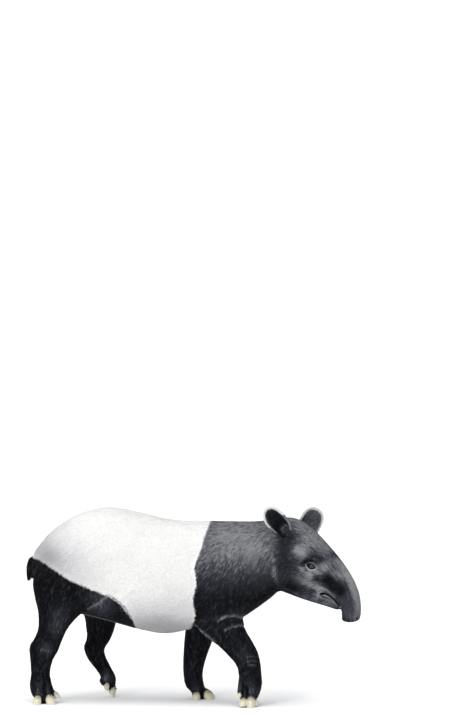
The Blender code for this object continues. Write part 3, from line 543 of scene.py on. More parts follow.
class Surface:
    """A mesh's points, their places on the straight animal, and its net of neighbours."""

    def __init__(self, mesh: bpy.types.Mesh) -> None:
        """Reads the mesh."""
        self.mesh = mesh
        self.read()

    def read(self) -> None:
        """Reads the mesh again after its points moved."""
        self.points = read_vectors(self.mesh.vertices)
        self.normals = read_vectors(self.mesh.vertices, "normal")
        self.straight, self.angle = TURN.straight(self.points)
        self.straight_normals = TURN.turned(self.normals, -self.angle)
        self.flat = self.straight[:, [0, 2]]

    def shift(self, steps: np.ndarray) -> None:
        """Moves each point by its own step."""
        write_points(self.mesh, self.points + steps)
        self.read()

    def push(self, heights: np.ndarray) -> None:
        """Moves each point along its normal by a height in metres."""
        self.shift(self.normals * heights[:, None])

    def facing(self, strength: float) -> np.ndarray:
        """How squarely each point faces sideways, from 0 to 1."""
        return np.clip(np.abs(self.straight_normals[:, 1]) * strength, 0.0, 1.0)

    def net(self) -> np.ndarray:
        """Pairs of neighbours: the edges, and the corners across each four-sided face."""
        mesh = self.mesh
        corners = read(mesh.loops, "vertex_index")
        four = read(mesh.polygons, "loop_start")[read(mesh.polygons, "loop_total") == 4]
        across = [np.column_stack([corners[four + i], corners[four + i + 2]]) for i in (0, 1)]
        return np.vstack([read(mesh.edges, "vertices", 2), *across])


def spread(values: np.ndarray, net: np.ndarray, weights: np.ndarray, rounds: int) -> np.ndarray:
    """Evens out values over neighbours.

    Args:
        values: One number for each vertex.
        net: Pairs of neighbours.
        weights: How strongly each pair pulls together.
        rounds: How often each value moves half way to its neighbours' mean.

    Returns:
        The evened values.
    """
    a, b = net.T
    count = len(values)
    total = np.bincount(a, weights, count) + np.bincount(b, weights, count) + 1e-9
    for _ in range(rounds):
        pulled = np.bincount(a, weights * values[b], count) + np.bincount(b, weights * values[a], count)
        values = 0.5 * values + 0.5 * pulled / total
    return values


@dataclass(frozen=True)
class EarLook:
    """How one ear opens, and its painted light and shade: how light it is inside, outside and in the band
    inside its edge, and toward which side its pale edge is painted brighter.
    """

    name: str
    opening: tuple[float, float, float]
    bright: tuple[float, float]
    inside: float
    outside: float
    band: float


# The ears' lightness here is painted light and shade, set apart for each ear: the near ear's cup is painted
# dark, the far ear's lighter, and each pale edge is painted brighter toward its upper side.
EAR_LOOKS = (
    EarLook("ear_right", (0.30, -0.95, 0.10), (-0.75, 0.66), 0.03, 0.30, 0.80),
    EarLook("ear_left", (0.46, -0.88, 0.12), (0.62, 0.78), 0.48, 0.14, 0.42),
)


@dataclass
class Hide:
    """The skin that stands for all the flesh, first fine for the coat's roots and then thinned."""

    voxel: float = 0.003
    closing: float = 0.0005
    lid_radius: float = 0.0202
    smoothing_rounds: int = 110
    thin_to: int = 118000
    cleft_depth: float = 0.0085
    cleft_width: float = 0.0085
    cleft_rise: float = 0.078
    rim_growth: float = 0.0035
    nail_depth: float = 0.0040
    nail_margin: float = 0.0110
    toe_light: float = 0.40
    streak_seed: int = 7
    region: np.ndarray = field(default_factory=lambda: np.zeros(0))

    def fuse(self) -> bpy.types.Object:
        """Joins copies of the flesh solids and closes the thin gaps between them."""
        joined = bmesh.new()
        for name in FLESH:
            part = bmesh.new()
            part.from_mesh(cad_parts[name].data)
            bmesh.ops.remove_doubles(part, verts=part.verts, dist=WELD)
            if name.startswith("ear"):
                bmesh.ops.subdivide_edges(part, edges=part.edges, cuts=2, smooth=0.7, use_grid_fill=True)
            part.normal_update()
            for vert in part.verts:
                vert.co += vert.normal * self.closing
            mesh = to_mesh(part, name + "_copy")
            joined.from_mesh(mesh)
            bpy.data.meshes.remove(mesh)
        for side in SIDES:
            ball = bmesh.ops.create_icosphere(joined, subdivisions=4, radius=self.lid_radius)
            bmesh.ops.translate(joined, verts=ball["verts"], vec=eye_middle(side))
        hide = place("tapir_hide", to_mesh(joined, "hide"))
        modify(hide, "REMESH", mode="VOXEL", voxel_size=self.voxel)
        return settle(hide)

    def find_regions(self, surface: Surface, net: np.ndarray, step: int = 3) -> np.ndarray:
        """The number in FLESH of the solid nearest to each vertex, found for one in a few and handed on."""
        tree, owner = solid_tree(FLESH)
        near = np.full(len(surface.points), -1)
        near[::step] = [owner[tree.find_nearest(Vector(p))[2]] for p in surface.points[::step].tolist()]
        for _ in range(4):
            for a, b in (net.T, net.T[::-1]):
                gap = (near[a] < 0) & (near[b] >= 0)
                near[a[gap]] = near[b[gap]]
        return np.maximum(near, 0)

    def even_out(self, hide: bpy.types.Object, surface: Surface, thin: np.ndarray) -> None:
        """Smooths the facets away, most on the trunk and least on face, ears, tail and feet."""
        x, down = surface.straight[:, 0], -surface.straight[:, 2]
        rate = np.full(len(x), 1.0)
        for share, there in (
            (smooth_step(down, -0.46, -0.36), 0.30), (smooth_step(down, -0.18, -0.12), 0.10),
            (smooth_step(x, 0.46, 0.54), 0.13), (thin, 0.035),
        ):
            rate = blend(rate, share, there)
        group = set_group(hide, rate)
        modify(hide, "SMOOTH", factor=0.5, iterations=self.smoothing_rounds, vertex_group=group)
        settle(hide)

    def fold(self, surface: Surface) -> None:
        """Sinks and raises the folds and muscles that the hide shows."""
        facing = surface.facing(1.6)
        heights = np.zeros(len(facing))
        for form in FORMS:
            near, depth = form.on(surface.straight)
            heights[near] -= depth * facing[near]
        surface.push(heights)

    def part_toes(self, surface: Surface) -> np.ndarray:
        """Deepens the clefts that run up from between the nails.

        Args:
            surface: The fine hide.

        Returns:
            How far each vertex lies in a cleft, from 0 to 1.
        """
        clefts = np.zeros(len(surface.points))
        for foot in ("fore_right", "fore_left", "hind_right", "hind_left"):
            middles = [middle_of(name) for name in NAILS if foot in name]
            heart = sum(middles, Vector()) / len(middles)
            for a, b in zip(middles, middles[1:]):
                between = (a + b) / 2
                inward = (heart - between) * 0.40
                top = between + inward + Vector((0.0, 0.0, self.cleft_rise))
                line = (between - inward * 0.4, between, top)
                near = np.linalg.norm(surface.points - np.array(between), axis=1) < 0.12
                gap = distance_to_line(surface.points[near], line)
                clefts[near] = np.maximum(clefts[near], bell(gap, self.cleft_width))
        surface.push(-self.cleft_depth * clefts)
        return clefts

    def seat_nails(self, surface: Surface) -> np.ndarray:
        """Sinks the hide a little round the nails, so that they stand free of it.

        Args:
            surface: The fine hide.

        Returns:
            How near a nail each vertex is, from 0 to 1.
        """
        tree, _ = solid_tree(NAILS)
        reach = self.nail_margin
        low = np.nonzero(surface.points[:, 2] < 0.16)[0]
        found = [tree.find_nearest(Vector(spot), reach)[3] for spot in surface.points[low].tolist()]
        near = np.zeros(len(surface.points))
        gaps = np.array([reach if gap is None else gap for gap in found])
        near[low] = 1.0 - smooth_step(gaps, 0.002, reach)
        surface.push(-self.nail_depth * near)
        return near

    def lit_toes(self, surface: Surface) -> np.ndarray:
        """The painted highlight on top of each toe, above its nail, strongest where the hide faces up."""
        light = np.zeros(len(surface.points))
        low = surface.points[:, 2] < 0.18
        for name in NAILS:
            middle = np.array(middle_of(name))
            middle[2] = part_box(name)[1].z + 0.020
            gap = (surface.points[low] - middle) / (0.018, 0.018, 0.028)
            upward = smooth_step(surface.normals[low, 2], -0.5, 0.3)
            light[low] += self.toe_light * np.exp(-(gap**2).sum(1) / 2) * upward
        return light

    def find_rims(self, surface: Surface, ears: np.ndarray) -> tuple[np.ndarray, np.ndarray]:
        """Widens the ears' edges a little and finds their pale edge and the band inside it where the ear is
        painted lighter.

        Args:
            surface: The fine hide.
            ears: How far each vertex belongs to an ear.

        Returns:
            The share of the pale edge and of the band at each vertex, each from 0 to 1.
        """
        points = surface.points
        rims, band, growth = np.zeros((3, len(points)))
        outward = np.zeros((len(points), 3))
        for look in EAR_LOOKS:
            low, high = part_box(look.name)
            tall = high.z - low.z
            seeds = self.ear_edge(look.name)
            seeds = seeds[seeds[:, 2] > low.z + 0.16 * tall]
            inside = (points > np.array(low) - 0.01) & (points < np.array(high) + 0.01)
            near = np.nonzero((ears > 0.3) & np.all(inside, axis=1))[0]
            gap = np.full(len(near), np.inf)
            for seed in seeds:
                gap = np.minimum(gap, ((points[near] - seed) ** 2).sum(1))
            gap = np.sqrt(gap)
            rise = (points[near][:, 2] - low.z) / tall
            opening = TURN.turned(np.array([look.opening]), np.array([TURN.angle]))[0]
            from_middle = points[near] - np.array((low + high) / 2)
            across = unit(from_middle - (from_middle @ opening)[:, None] * opening)
            # The pale edge is the ear's own pale rim, painted brighter toward the side given as bright: a
            # painted highlight over it.
            side = smooth_step(across[:, 0] * look.bright[0] + across[:, 2] * look.bright[1], -0.25, 0.35)
            toward = surface.normals[near] @ opening
            width = 0.0050 + 0.0055 * smooth_step(rise, 0.40, 0.90)
            edge = np.clip(1.5 - gap / width, 0.0, 1.0) * smooth_step(toward, -0.70, -0.25)
            rims[near] = edge * (0.30 + 0.70 * side)
            band[near] = np.maximum(bell(gap, 0.014) * smooth_step(toward, 0.0, 0.4), 0.8 * edge)
            outward[near] = across
            growth[near] = bell(gap, 0.006) * smooth_step(rise, 0.25, 0.50)
        surface.shift(outward * (self.rim_growth * growth)[:, None])
        return rims, band

    @staticmethod
    def ear_edge(name: str) -> np.ndarray:
        """Points along the sharp edge of an ear's solid."""
        leaf = bmesh.new()
        leaf.from_mesh(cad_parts[name].data)
        bmesh.ops.remove_doubles(leaf, verts=leaf.verts, dist=WELD)
        bmesh.ops.dissolve_limit(leaf, angle_limit=0.02, verts=leaf.verts, edges=leaf.edges)
        sharp = [edge for edge in leaf.edges if edge.is_manifold and edge.calc_face_angle() > 0.75]
        middles = np.array([(edge.verts[0].co + edge.verts[1].co) / 2 for edge in sharp])
        ends = np.array([end.co for edge in sharp for end in edge.verts])
        leaf.free()
        return np.vstack([middles, ends])

    def build(self) -> bpy.types.Object:
        """Builds the fine hide that the coat is rooted on.

        Returns:
            The fine hide, with what each vertex carries stored on it.
        """
        hide = self.fuse()
        surface = Surface(hide.data)
        net = surface.net()
        self.region = self.find_regions(surface, net)
        even = np.ones(len(net))
        found = {}
        for name, nodes in (("ears", ("ear_right", "ear_left")), ("tail", ("tail",))):
            mine = np.isin(self.region, [FLESH.index(node) for node in nodes]).astype(float)
            found[name] = spread(mine, net, even, 8)
        self.even_out(hide, surface, np.maximum(found["ears"], found["tail"]))
        surface = Surface(hide.data)
        self.fold(surface)
        found["clefts"] = self.part_toes(surface)
        found["by_nails"] = self.seat_nails(surface)
        found["rims"], found["band"] = self.find_rims(surface, found["ears"])
        self.describe(surface, net, found)
        log.info("fine hide: %d vertices", len(hide.data.vertices))
        return hide

    def describe(self, surface: Surface, net: np.ndarray, found: dict[str, np.ndarray]) -> None:
        """Stores on the fine hide what the coat and the finishes read.

        Args:
            surface: The fine hide.
            net: Its pairs of neighbours.
            found: How far each vertex belongs to the ears, tail, clefts, rims and band, and how
                near a nail it is.
        """
        ears, by_nails, rims = found["ears"], found["by_nails"], found["rims"]
        x, down = surface.straight[:, 0], -surface.straight[:, 2]
        marks = Markings()
        head, snout = smooth_step(x, 0.50, 0.62), smooth_step(x, 0.80, 0.90)
        legs, feet = smooth_step(down, -0.44, -0.34), smooth_step(down, -0.16, -0.09)
        length = 0.0155 + 0.0045 * smooth_step(surface.straight_normals[:, 2], 0.55, 0.95)
        for share, there in (
            (legs, 0.0135), (feet, 0.0075), (head, 0.0105), (snout, 0.0060), (ears, 0.0075),
            (found["tail"], 0.0150),
        ):
            length = blend(length, share, there)
        density = 84000
        for share, there in ((legs, 116000), (feet, 190000), (head, 190000), (ears, 230000)):
            density = blend(density, share, there)
        edge = marks.edge(surface.straight)
        length *= 0.55 + 0.45 * smooth_step(np.abs(edge), 0.004, 0.024)
        length *= 1.0 - 0.55 * by_nails
        surface.push(-(0.16 * length + 0.0003) * (1 - 0.8 * ears))
        off_eyes, mouth, nostril = Face().gaps(surface)
        density *= smooth_step(off_eyes, 0.026, 0.032)
        density *= smooth_step(mouth, 0.0075, 0.0115)
        density *= smooth_step(nostril, 0.010, 0.016)
        density *= smooth_step(surface.points[:, 2], 0.004, 0.010) * smooth_step(-by_nails, -0.80, -0.45)
        lie = Comb().lie(surface, self.region)
        a, b = surface.points[net[:, 0]], surface.points[net[:, 1]]
        along = np.abs(np.einsum("ij,ij->i", unit(b - a), lie[net[:, 0]]))
        luck = np.random.default_rng(self.streak_seed).normal(size=len(x))
        streak = spread(luck, net, along**10, 9)
        strength = np.where(edge > 0, 0.12, blend(blend(0.19, head, 0.14), legs, 0.24))
        # The black coat's painted light and shade.
        light = marks.black_painted_light(surface.straight, surface.straight_normals)
        # Each ear is painted lighter or darker inside, outside and in the band inside its edge: painted light
        # and shade, set apart for each ear.
        for look in EAR_LOOKS:
            facing = smooth_step(surface.straight_normals @ np.array(look.opening), -0.25, 0.25)
            mine = ears * (self.region == FLESH.index(look.name))
            light = blend(light, mine, blend(look.outside, facing, look.inside) + look.band * found["band"])
        for name, values in {
            "edge": np.where(rims > RIM_SHARE, (rims - RIM_SHARE) * 0.2, edge),
            # Painted highlights on top of the toes and painted shade in the clefts between them.
            "light": np.clip(light + self.lit_toes(surface) - 0.5 * found["clefts"], 0.0, 1.0),
            # Painted shade of the white coat, and the ear rims' own pale grey.
            "grey": np.where(rims > RIM_SHARE, 0.40, marks.white_grey_and_shade(surface.straight)),
            "streak": np.clip(0.5 + strength * (streak / streak.std()), 0.0, 1.0),
            "rim": rims, "length": length, "density": density, "lie": lie,
        }.items():
            write_values(surface.mesh, name, values)

    def thinned(self, fine: bpy.types.Object) -> bpy.types.Object:
        """Makes the hide that shows: the fine one with fewer triangles on the trunk."""
        hide = place("tapir_skin", fine.data.copy())
        places = Surface(hide.data).straight
        head = smooth_step(places[:, 0], 0.46, 0.56)
        feet = smooth_step(-places[:, 2], -0.20, -0.12) * 0.8
        modify(
            hide, "DECIMATE", ratio=self.thin_to / (2 * len(hide.data.polygons)),
            use_collapse_triangulate=True, vertex_group_factor=0.0003,
            vertex_group=set_group(hide, 1.0 - 0.75 * np.maximum(head, feet)),
        )
        return settle(hide)


@dataclass
class Comb:
    """Works out in which direction the coat lies everywhere."""

    sharpness: float = 2.0

    def lie(self, surface: Surface, region: np.ndarray) -> np.ndarray:
        """The coat's direction at each vertex.

        Args:
            surface: The fine hide.
            region: The number of the solid that each vertex belongs to.

        Returns:
            Unit directions that lie in the hide's surface.
        """
        x, z = surface.flat.T
        total = np.zeros((len(x), 2))
        for stroke in LIE:
            gap = (x - stroke.x) ** 2 + (z - stroke.z) ** 2
            weight = 1.0 / (gap / stroke.reach**2 + 0.02) ** self.sharpness
            toward = np.array((stroke.ahead, stroke.up))
            total += weight[:, None] * toward / np.hypot(*toward)
        directions = np.column_stack([total[:, 0], np.zeros(len(total)), total[:, 1]])
        directions = TURN.turned(directions, surface.angle)
        for name in ("ear_right", "ear_left"):
            low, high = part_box(name)
            rise = Vector((high.x - low.x, 0.0, high.z - low.z))
            if name == "ear_right":
                rise.x = -rise.x
            directions[region == FLESH.index(name)] = np.array(rise.normalized())
        flat = directions - np.einsum("ij,ij->i", directions, surface.normals)[:, None] * surface.normals
        weak = np.linalg.norm(flat, axis=1) < 1e-3
        flat[weak] = np.cross(surface.normals[weak], (0.0, 1.0, 0.0))
        return unit(flat)


@dataclass
class Face:
    """The fine forms of the head: lids, lips and nostrils."""

    mouth: tuple[tuple[float, float], ...] = (
        (0.753, 0.619), (0.775, 0.624), (0.801, 0.611), (0.830, 0.586), (0.854, 0.558),
    )
    nostril: tuple[float, float, float] = (0.948, 0.024, 0.486)
    opening: tuple[float, float] = (0.0190, 0.0130)
    slant: float = math.radians(24.0)
    ball: float = 0.0163
    bluntness: float = 1.58

    def gaps(self, surface: Surface) -> tuple[np.ndarray, np.ndarray, np.ndarray]:
        """How far each point is from the nearer eye's middle, the mouth's line and the nearer nostril."""
        eyes = [np.linalg.norm(surface.points - np.array(eye_middle(side)), axis=1) for side in SIDES]
        mouth = distance_to_line(surface.flat, self.mouth)
        return np.min(eyes, axis=0), mouth, distance_to_line(np.abs(surface.straight), (self.nostril,))

    def refine(self, skin: bpy.types.Object) -> None:
        """Splits the faces round the eyes, mouth and nostrils into finer ones."""
        eyes, mouth, nostril = self.gaps(Surface(skin.data))
        work = bmesh.new()
        work.from_mesh(skin.data)
        work.verts.ensure_lookup_table()
        chosen = (eyes < 0.034) | (mouth < 0.016) | (nostril < 0.016)
        faces = [face for face in work.faces if any(chosen[vert.index] for vert in face.verts)]
        edges = list({edge for face in faces for edge in face.edges})
        bmesh.ops.subdivide_edges(work, edges=edges, cuts=2, use_grid_fill=True)
        bmesh.ops.triangulate(work, faces=[face for face in work.faces if len(face.verts) > 3])
        work.to_mesh(skin.data)
        work.free()
        eyes, mouth, _ = self.gaps(Surface(skin.data))
        weights = np.maximum(smooth_step(-eyes, -0.034, -0.024), 0.6 * smooth_step(-mouth, -0.014, -0.009))
        modify(skin, "SMOOTH", factor=0.5, iterations=14, vertex_group=set_group(skin, weights))
        settle(skin)

    def open_lids(self, surface: Surface, side: Side) -> tuple[np.ndarray, np.ndarray]:
        """Opens one pair of lids over the eye.

        Args:
            surface: The skin.
            side: Which eye it is.

        Returns:
            How pale each vertex is as a lid's edge, and how dark as its wet margin.
        """
        heart = TURN.straight(np.array(eye_middle(side))[None, :])[0][0]
        gap = surface.straight - heart
        out = gap[:, 1] * side.value
        near = (np.linalg.norm(gap, axis=1) < 0.040) & (out > 0)
        along = gap[:, 0] * math.cos(self.slant) - gap[:, 2] * math.sin(self.slant)
        tall = gap[:, 2] * math.cos(self.slant) + gap[:, 0] * math.sin(self.slant)
        upper = tall > 0
        power = self.bluntness
        wide, high = np.abs(along / self.opening[0]), np.abs(tall / self.opening[1])
        ring = np.maximum((wide**power + high**power) ** (1 / power), 1e-6)
        scale = np.ones(len(ring))
        inner = (ring > 0.80) & (ring <= 1.0)
        scale[inner] = 1.0 / ring[inner]
        outer = (ring > 1.0) & (ring < 1.20)
        scale[outer] = 1.14 / ring[outer]
        flat = gap[:, [0, 2]] * scale[:, None]
        reach = (flat**2).sum(1)
        over_ball = np.sqrt(np.maximum((self.ball + 0.0004) ** 2 - reach, 0.0))
        behind = np.sqrt(np.maximum((self.ball - 0.0030) ** 2 - reach, 0.0))
        target = out.copy()
        rim = ring <= 1.0
        target[rim] = np.maximum(over_ball[rim], out[rim] - 0.0045)
        pit = ring <= 0.80
        target[pit] = np.maximum(np.minimum(behind[pit], out[pit] - 0.004), 0.002)
        target -= np.where(upper, 0.0034, 0.0018) * bell(ring - 1.98, 0.17)
        target += np.where(upper, 0.0020, 0.0014) * bell(ring - 1.48, 0.24)
        moved = surface.straight.copy()
        moved[near] = (heart + np.column_stack([flat[:, 0], side.value * target, flat[:, 1]]))[near]
        surface.shift(TURN.turned(moved - surface.straight, surface.angle))
        pale = smooth_step(np.where(upper, 1.66, 1.90) - ring, 0.0, 0.18) * smooth_step(ring, 1.36, 1.46)
        pale *= np.where(upper, 0.60, 1.0) - 0.50 * smooth_step(-along / self.opening[0], 0.5, 1.4)
        return np.where(near, pale, 0.0), np.where(near, smooth_step(-ring, -1.46, -1.34), 0.0)

    def shape(self, skin: bpy.types.Object) -> None:
        """Gives the skin its lids, lips and nostrils, and stores where they are pale or bare."""
        surface = Surface(skin.data)
        pale, margin = np.max([self.open_lids(surface, side) for side in SIDES], axis=0)
        ahead, tall = surface.flat.T
        gap = self.gaps(surface)[1]
        head = ahead > 0.70
        below = np.interp(ahead, *np.array(self.mouth).T) - tall
        heights = -0.0065 * bell(gap, 0.0044)
        heights += 0.0022 * bell(gap - 0.0100, 0.0036)
        surface.push(np.where(head, heights * surface.facing(2.0), 0.0))
        # The lower lip is painted pale: its own pale edge, partly a painted highlight along it.
        lip = bell(below - 0.0088, 0.0026) * (ahead > 0.765) * (ahead < 0.868) * (head * (gap < 0.013))
        write_values(skin.data, "pale", np.maximum(pale, 0.9 * lip))
        nostril = self.gaps(surface)[2]
        bare = np.maximum(bell(gap, 0.0056) * head, smooth_step(-nostril, -0.012, -0.008))
        write_values(skin.data, "bare", np.maximum(bare, margin))


class Nodes:
    """Lays out a material's or group's node tree from left to right."""

    def __init__(self, tree: bpy.types.NodeTree) -> None:
        """Starts on an empty tree."""
        self.tree = tree
        self.count = 0
        tree.nodes.clear()

    def add(self, kind: str, **settings: object) -> bpy.types.Node:
        """Adds a node and sets its options and unlinked inputs.

        Args:
            kind: The node's type.
            **settings: Options by their name, and inputs by in_ and their number.

        Returns:
            The new node.
        """
        node = self.tree.nodes.new(kind)
        node.location = (self.count * 190.0, -40.0 * (self.count % 5))
        self.count += 1
        for name, value in settings.items():
            if name.startswith("in_"):
                node.inputs[int(name[3:])].default_value = value
            else:
                setattr(node, name, value)
        return node

    def link(self, source: bpy.types.NodeSocket, target: bpy.types.NodeSocket) -> None:
        """Joins two sockets."""
        self.tree.links.new(source, target)

    def feed(self, target: bpy.types.NodeSocket, value: object) -> None:
        """Links a socket to an input, or sets the input to a number, vector or colour."""
        if isinstance(value, bpy.types.NodeSocket):
            self.link(value, target)
        else:
            target.default_value = (*value, 1.0) if target.type == "RGBA" else value

    def wire(self, node: bpy.types.Node, inputs: dict[str, object]) -> bpy.types.Node:
        """Feeds a node's inputs by their names, and returns the node."""
        for name, value in inputs.items():
            self.feed(node.inputs[name], value)
        return node

    def math(self, operation: str, first: object, second: object = 0.0) -> bpy.types.NodeSocket:
        """A sum, product or other operation on two sockets or numbers."""
        node = self.add("ShaderNodeMath", operation=operation)
        self.feed(node.inputs[0], first)
        self.feed(node.inputs[1], second)
        return node.outputs[0]

    def attribute(self, name: str) -> bpy.types.NodeSocket:
        """The number that is stored on the mesh under a name."""
        return self.add("ShaderNodeAttribute", attribute_name=name).outputs["Fac"]

    def mix(
        self, share: object, first: object, second: object, blend_type: str = "MIX"
    ) -> bpy.types.NodeSocket:
        """A colour between two colours or colour sockets."""
        node = self.add("ShaderNodeMix", data_type="RGBA", blend_type=blend_type)
        for number, value in ((0, share), (6, first), (7, second)):
            self.feed(node.inputs[number], value)
        return node.outputs[2]

    def span(
        self, value: bpy.types.NodeSocket, low: float, high: float, first: float = 0.0, last: float = 1.0
    ) -> bpy.types.NodeSocket:
        """Maps a value from low and high to first and last, and holds it there."""
        node = self.add("ShaderNodeMapRange", in_1=low, in_2=high, in_3=first, in_4=last)
        self.link(value, node.inputs[0])
        return node.outputs[0]

    def noise(self, where: object, scale: object, detail: float = 2.0) -> bpy.types.NodeSocket:
        """Soft noise from 0 to 1."""
        node = self.add("ShaderNodeTexNoise")
        return self.wire(node, {"Vector": where, "Scale": scale, "Detail": detail}).outputs[0]

    def bump(self, shader: bpy.types.Node, height: object, strength: float, distance: float) -> None:
        """Gives a shader a fine relief."""
        relief = self.add("ShaderNodeBump")
        self.wire(relief, {"Height": height, "Strength": strength, "Distance": distance})
        self.link(relief.outputs[0], shader.inputs["Normal"])


@dataclass(frozen=True)
class CoatTone:
    """The colours of one coat: at its darkest, at its lightest, and between, and its light flecks; the black
    coat's lightest and the white coat's darkest show mostly under painted highlights and painted shade.
    """

    deep: tuple[float, float, float]
    bright: tuple[float, float, float]
    tint: tuple[float, float, float]
    fleck: float


# The black coat's bright colour stands for its painted sheen and highlights, the white coat's deep grey for
# its painted shade.
BLACK_TONE = CoatTone((0.0022, 0.0024, 0.0038), (0.310, 0.316, 0.330), (0.052, 0.055, 0.070), 0.30)
WHITE_TONE = CoatTone((0.380, 0.370, 0.390), (0.930, 0.924, 0.906), (0.730, 0.718, 0.730), 0.05)


def start_group(name: str, sockets: tuple[tuple[str, str, str], ...]) -> bpy.types.NodeTree:
    """Begins a shader group.

    Args:
        name: The group's name.
        sockets: Rows of INPUT or OUTPUT, a kind, and the names of the sockets of that kind.

    Returns:
        The group with its sockets and no nodes.
    """
    tree = bpy.data.node_groups.new(name, "ShaderNodeTree")
    for way, kind, names in sockets:
        for socket in names.split():
            tree.interface.new_socket(socket, in_out=way, socket_type="NodeSocket" + kind)
    return tree


@dataclass(frozen=True)
class HairTone:
    """The group that gives a hair's colour from the painted light and shade where it grows, its coat's tone
    and its own luck.
    """

    name: str = "hair_tone"

    def build(self) -> bpy.types.NodeTree:
        """Builds the group once."""
        known = bpy.data.node_groups.get(self.name)
        if known:
            return known
        tree = start_group(self.name, (
            ("INPUT", "Float", "Light Streak Luck Fleck"),
            ("INPUT", "Color", "Deep Bright Tint"),
            ("OUTPUT", "Color", "Color"),
        ))
        nodes = Nodes(tree)
        given = nodes.add("NodeGroupInput").outputs
        hair = nodes.math("MULTIPLY", given["Streak"], 0.66)
        hair = nodes.math("ADD", hair, nodes.math("MULTIPLY", given["Luck"], 0.34))
        strength = nodes.math("ADD", nodes.math("MULTIPLY", hair, 1.50), 0.25)
        share = nodes.math("MULTIPLY", given["Light"], strength)
        fleck = nodes.math("MULTIPLY", nodes.span(hair, 0.55, 0.95), given["Fleck"])
        ramp = nodes.math("MINIMUM", nodes.math("ADD", share, fleck), 1.0)
        tinted = nodes.mix(nodes.span(ramp, 0.0, 0.35), given["Deep"], given["Tint"])
        bright = nodes.mix(nodes.span(ramp, 0.35, 1.0), tinted, given["Bright"])
        nodes.wire(nodes.add("NodeGroupOutput"), {"Color": bright})
        return tree


def hair_colour(
    nodes: Nodes, tone: CoatTone, light: object, streak: object, luck: object
) -> bpy.types.NodeSocket:
    """The colour of hair in one coat's tone, from its painted light and shade, streak and luck."""
    group = nodes.add("ShaderNodeGroup", node_tree=HairTone().build())
    nodes.wire(group, {
        "Light": light, "Streak": streak, "Luck": luck, "Fleck": tone.fleck,
        "Deep": tone.deep, "Bright": tone.bright, "Tint": tone.tint,
    })
    return group.outputs["Color"]


@dataclass(frozen=True)
class HideGrain:
    """The group that gives the fine creases of bare hide as a height."""

    name: str = "hide_grain"

    def build(self) -> bpy.types.NodeTree:
        """Builds the group once."""
        known = bpy.data.node_groups.get(self.name)
        if known:
            return known
        tree = start_group(self.name, (
            ("INPUT", "Vector", "Vector"), ("INPUT", "Float", "Scale"), ("OUTPUT", "Float", "Height Mask"),
        ))
        nodes = Nodes(tree)
        given = nodes.add("NodeGroupInput").outputs
        cells = nodes.add("ShaderNodeTexVoronoi", feature="DISTANCE_TO_EDGE")
        nodes.wire(cells, {"Vector": given["Vector"], "Scale": given["Scale"]})
        noise = nodes.noise(given["Vector"], given["Scale"], 4.0)
        creases = nodes.span(cells.outputs["Distance"], 0.0, 0.12)
        height = nodes.math("ADD", nodes.math("MULTIPLY", creases, 0.6), noise)
        nodes.wire(nodes.add("NodeGroupOutput"), {"Height": height, "Mask": noise})
        return tree


def start_material(name: str) -> tuple[bpy.types.Material, Nodes, bpy.types.Node]:
    """Begins a material with its shader and output.

    Args:
        name: The material's name.

    Returns:
        The material, its node layout and its Principled shader.
    """
    material = bpy.data.materials.new(name)
    material.use_nodes = True
    nodes = Nodes(material.node_tree)
    shader = nodes.add("ShaderNodeBsdfPrincipled")
    out = nodes.add("ShaderNodeOutputMaterial")
    nodes.link(shader.outputs[0], out.inputs[0])
    return material, nodes, shader


@dataclass(frozen=True)
class HairFinish:
    """The finish of the tufts of one coat."""

    name: str
    tone: CoatTone
    light: str
    invert: bool
    roughness: float
    sheen: float
    unevenness: float = 0.08

    def build(self) -> bpy.types.Material:
        """Builds the material, which reads what each tuft took from its root, its painted light and shade
        among it, and paints shade toward each tuft's root.
        """
        material, nodes, shader = start_material(self.name)
        light, luck = nodes.attribute(self.light), nodes.attribute("luck")
        if self.invert:
            light = nodes.math("SUBTRACT", 1.0, light)
        colour = hair_colour(nodes, self.tone, light, nodes.attribute("streak"), luck)
        # Painted shade between the tufts: each tuft darker toward its root.
        root_shade = nodes.span(nodes.attribute("reach"), 0.0, 0.7, 0.72, 1.0)
        grey = nodes.add("ShaderNodeCombineColor")
        for number in range(3):
            nodes.link(root_shade, grey.inputs[number])
        low, high = self.roughness - self.unevenness, self.roughness + self.unevenness
        nodes.wire(shader, {
            "Base Color": nodes.mix(1.0, colour, grey.outputs[0], "MULTIPLY"),
            "Roughness": nodes.span(luck, 0.0, 1.0, low, high), "Specular IOR Level": self.sheen,
        })
        return material


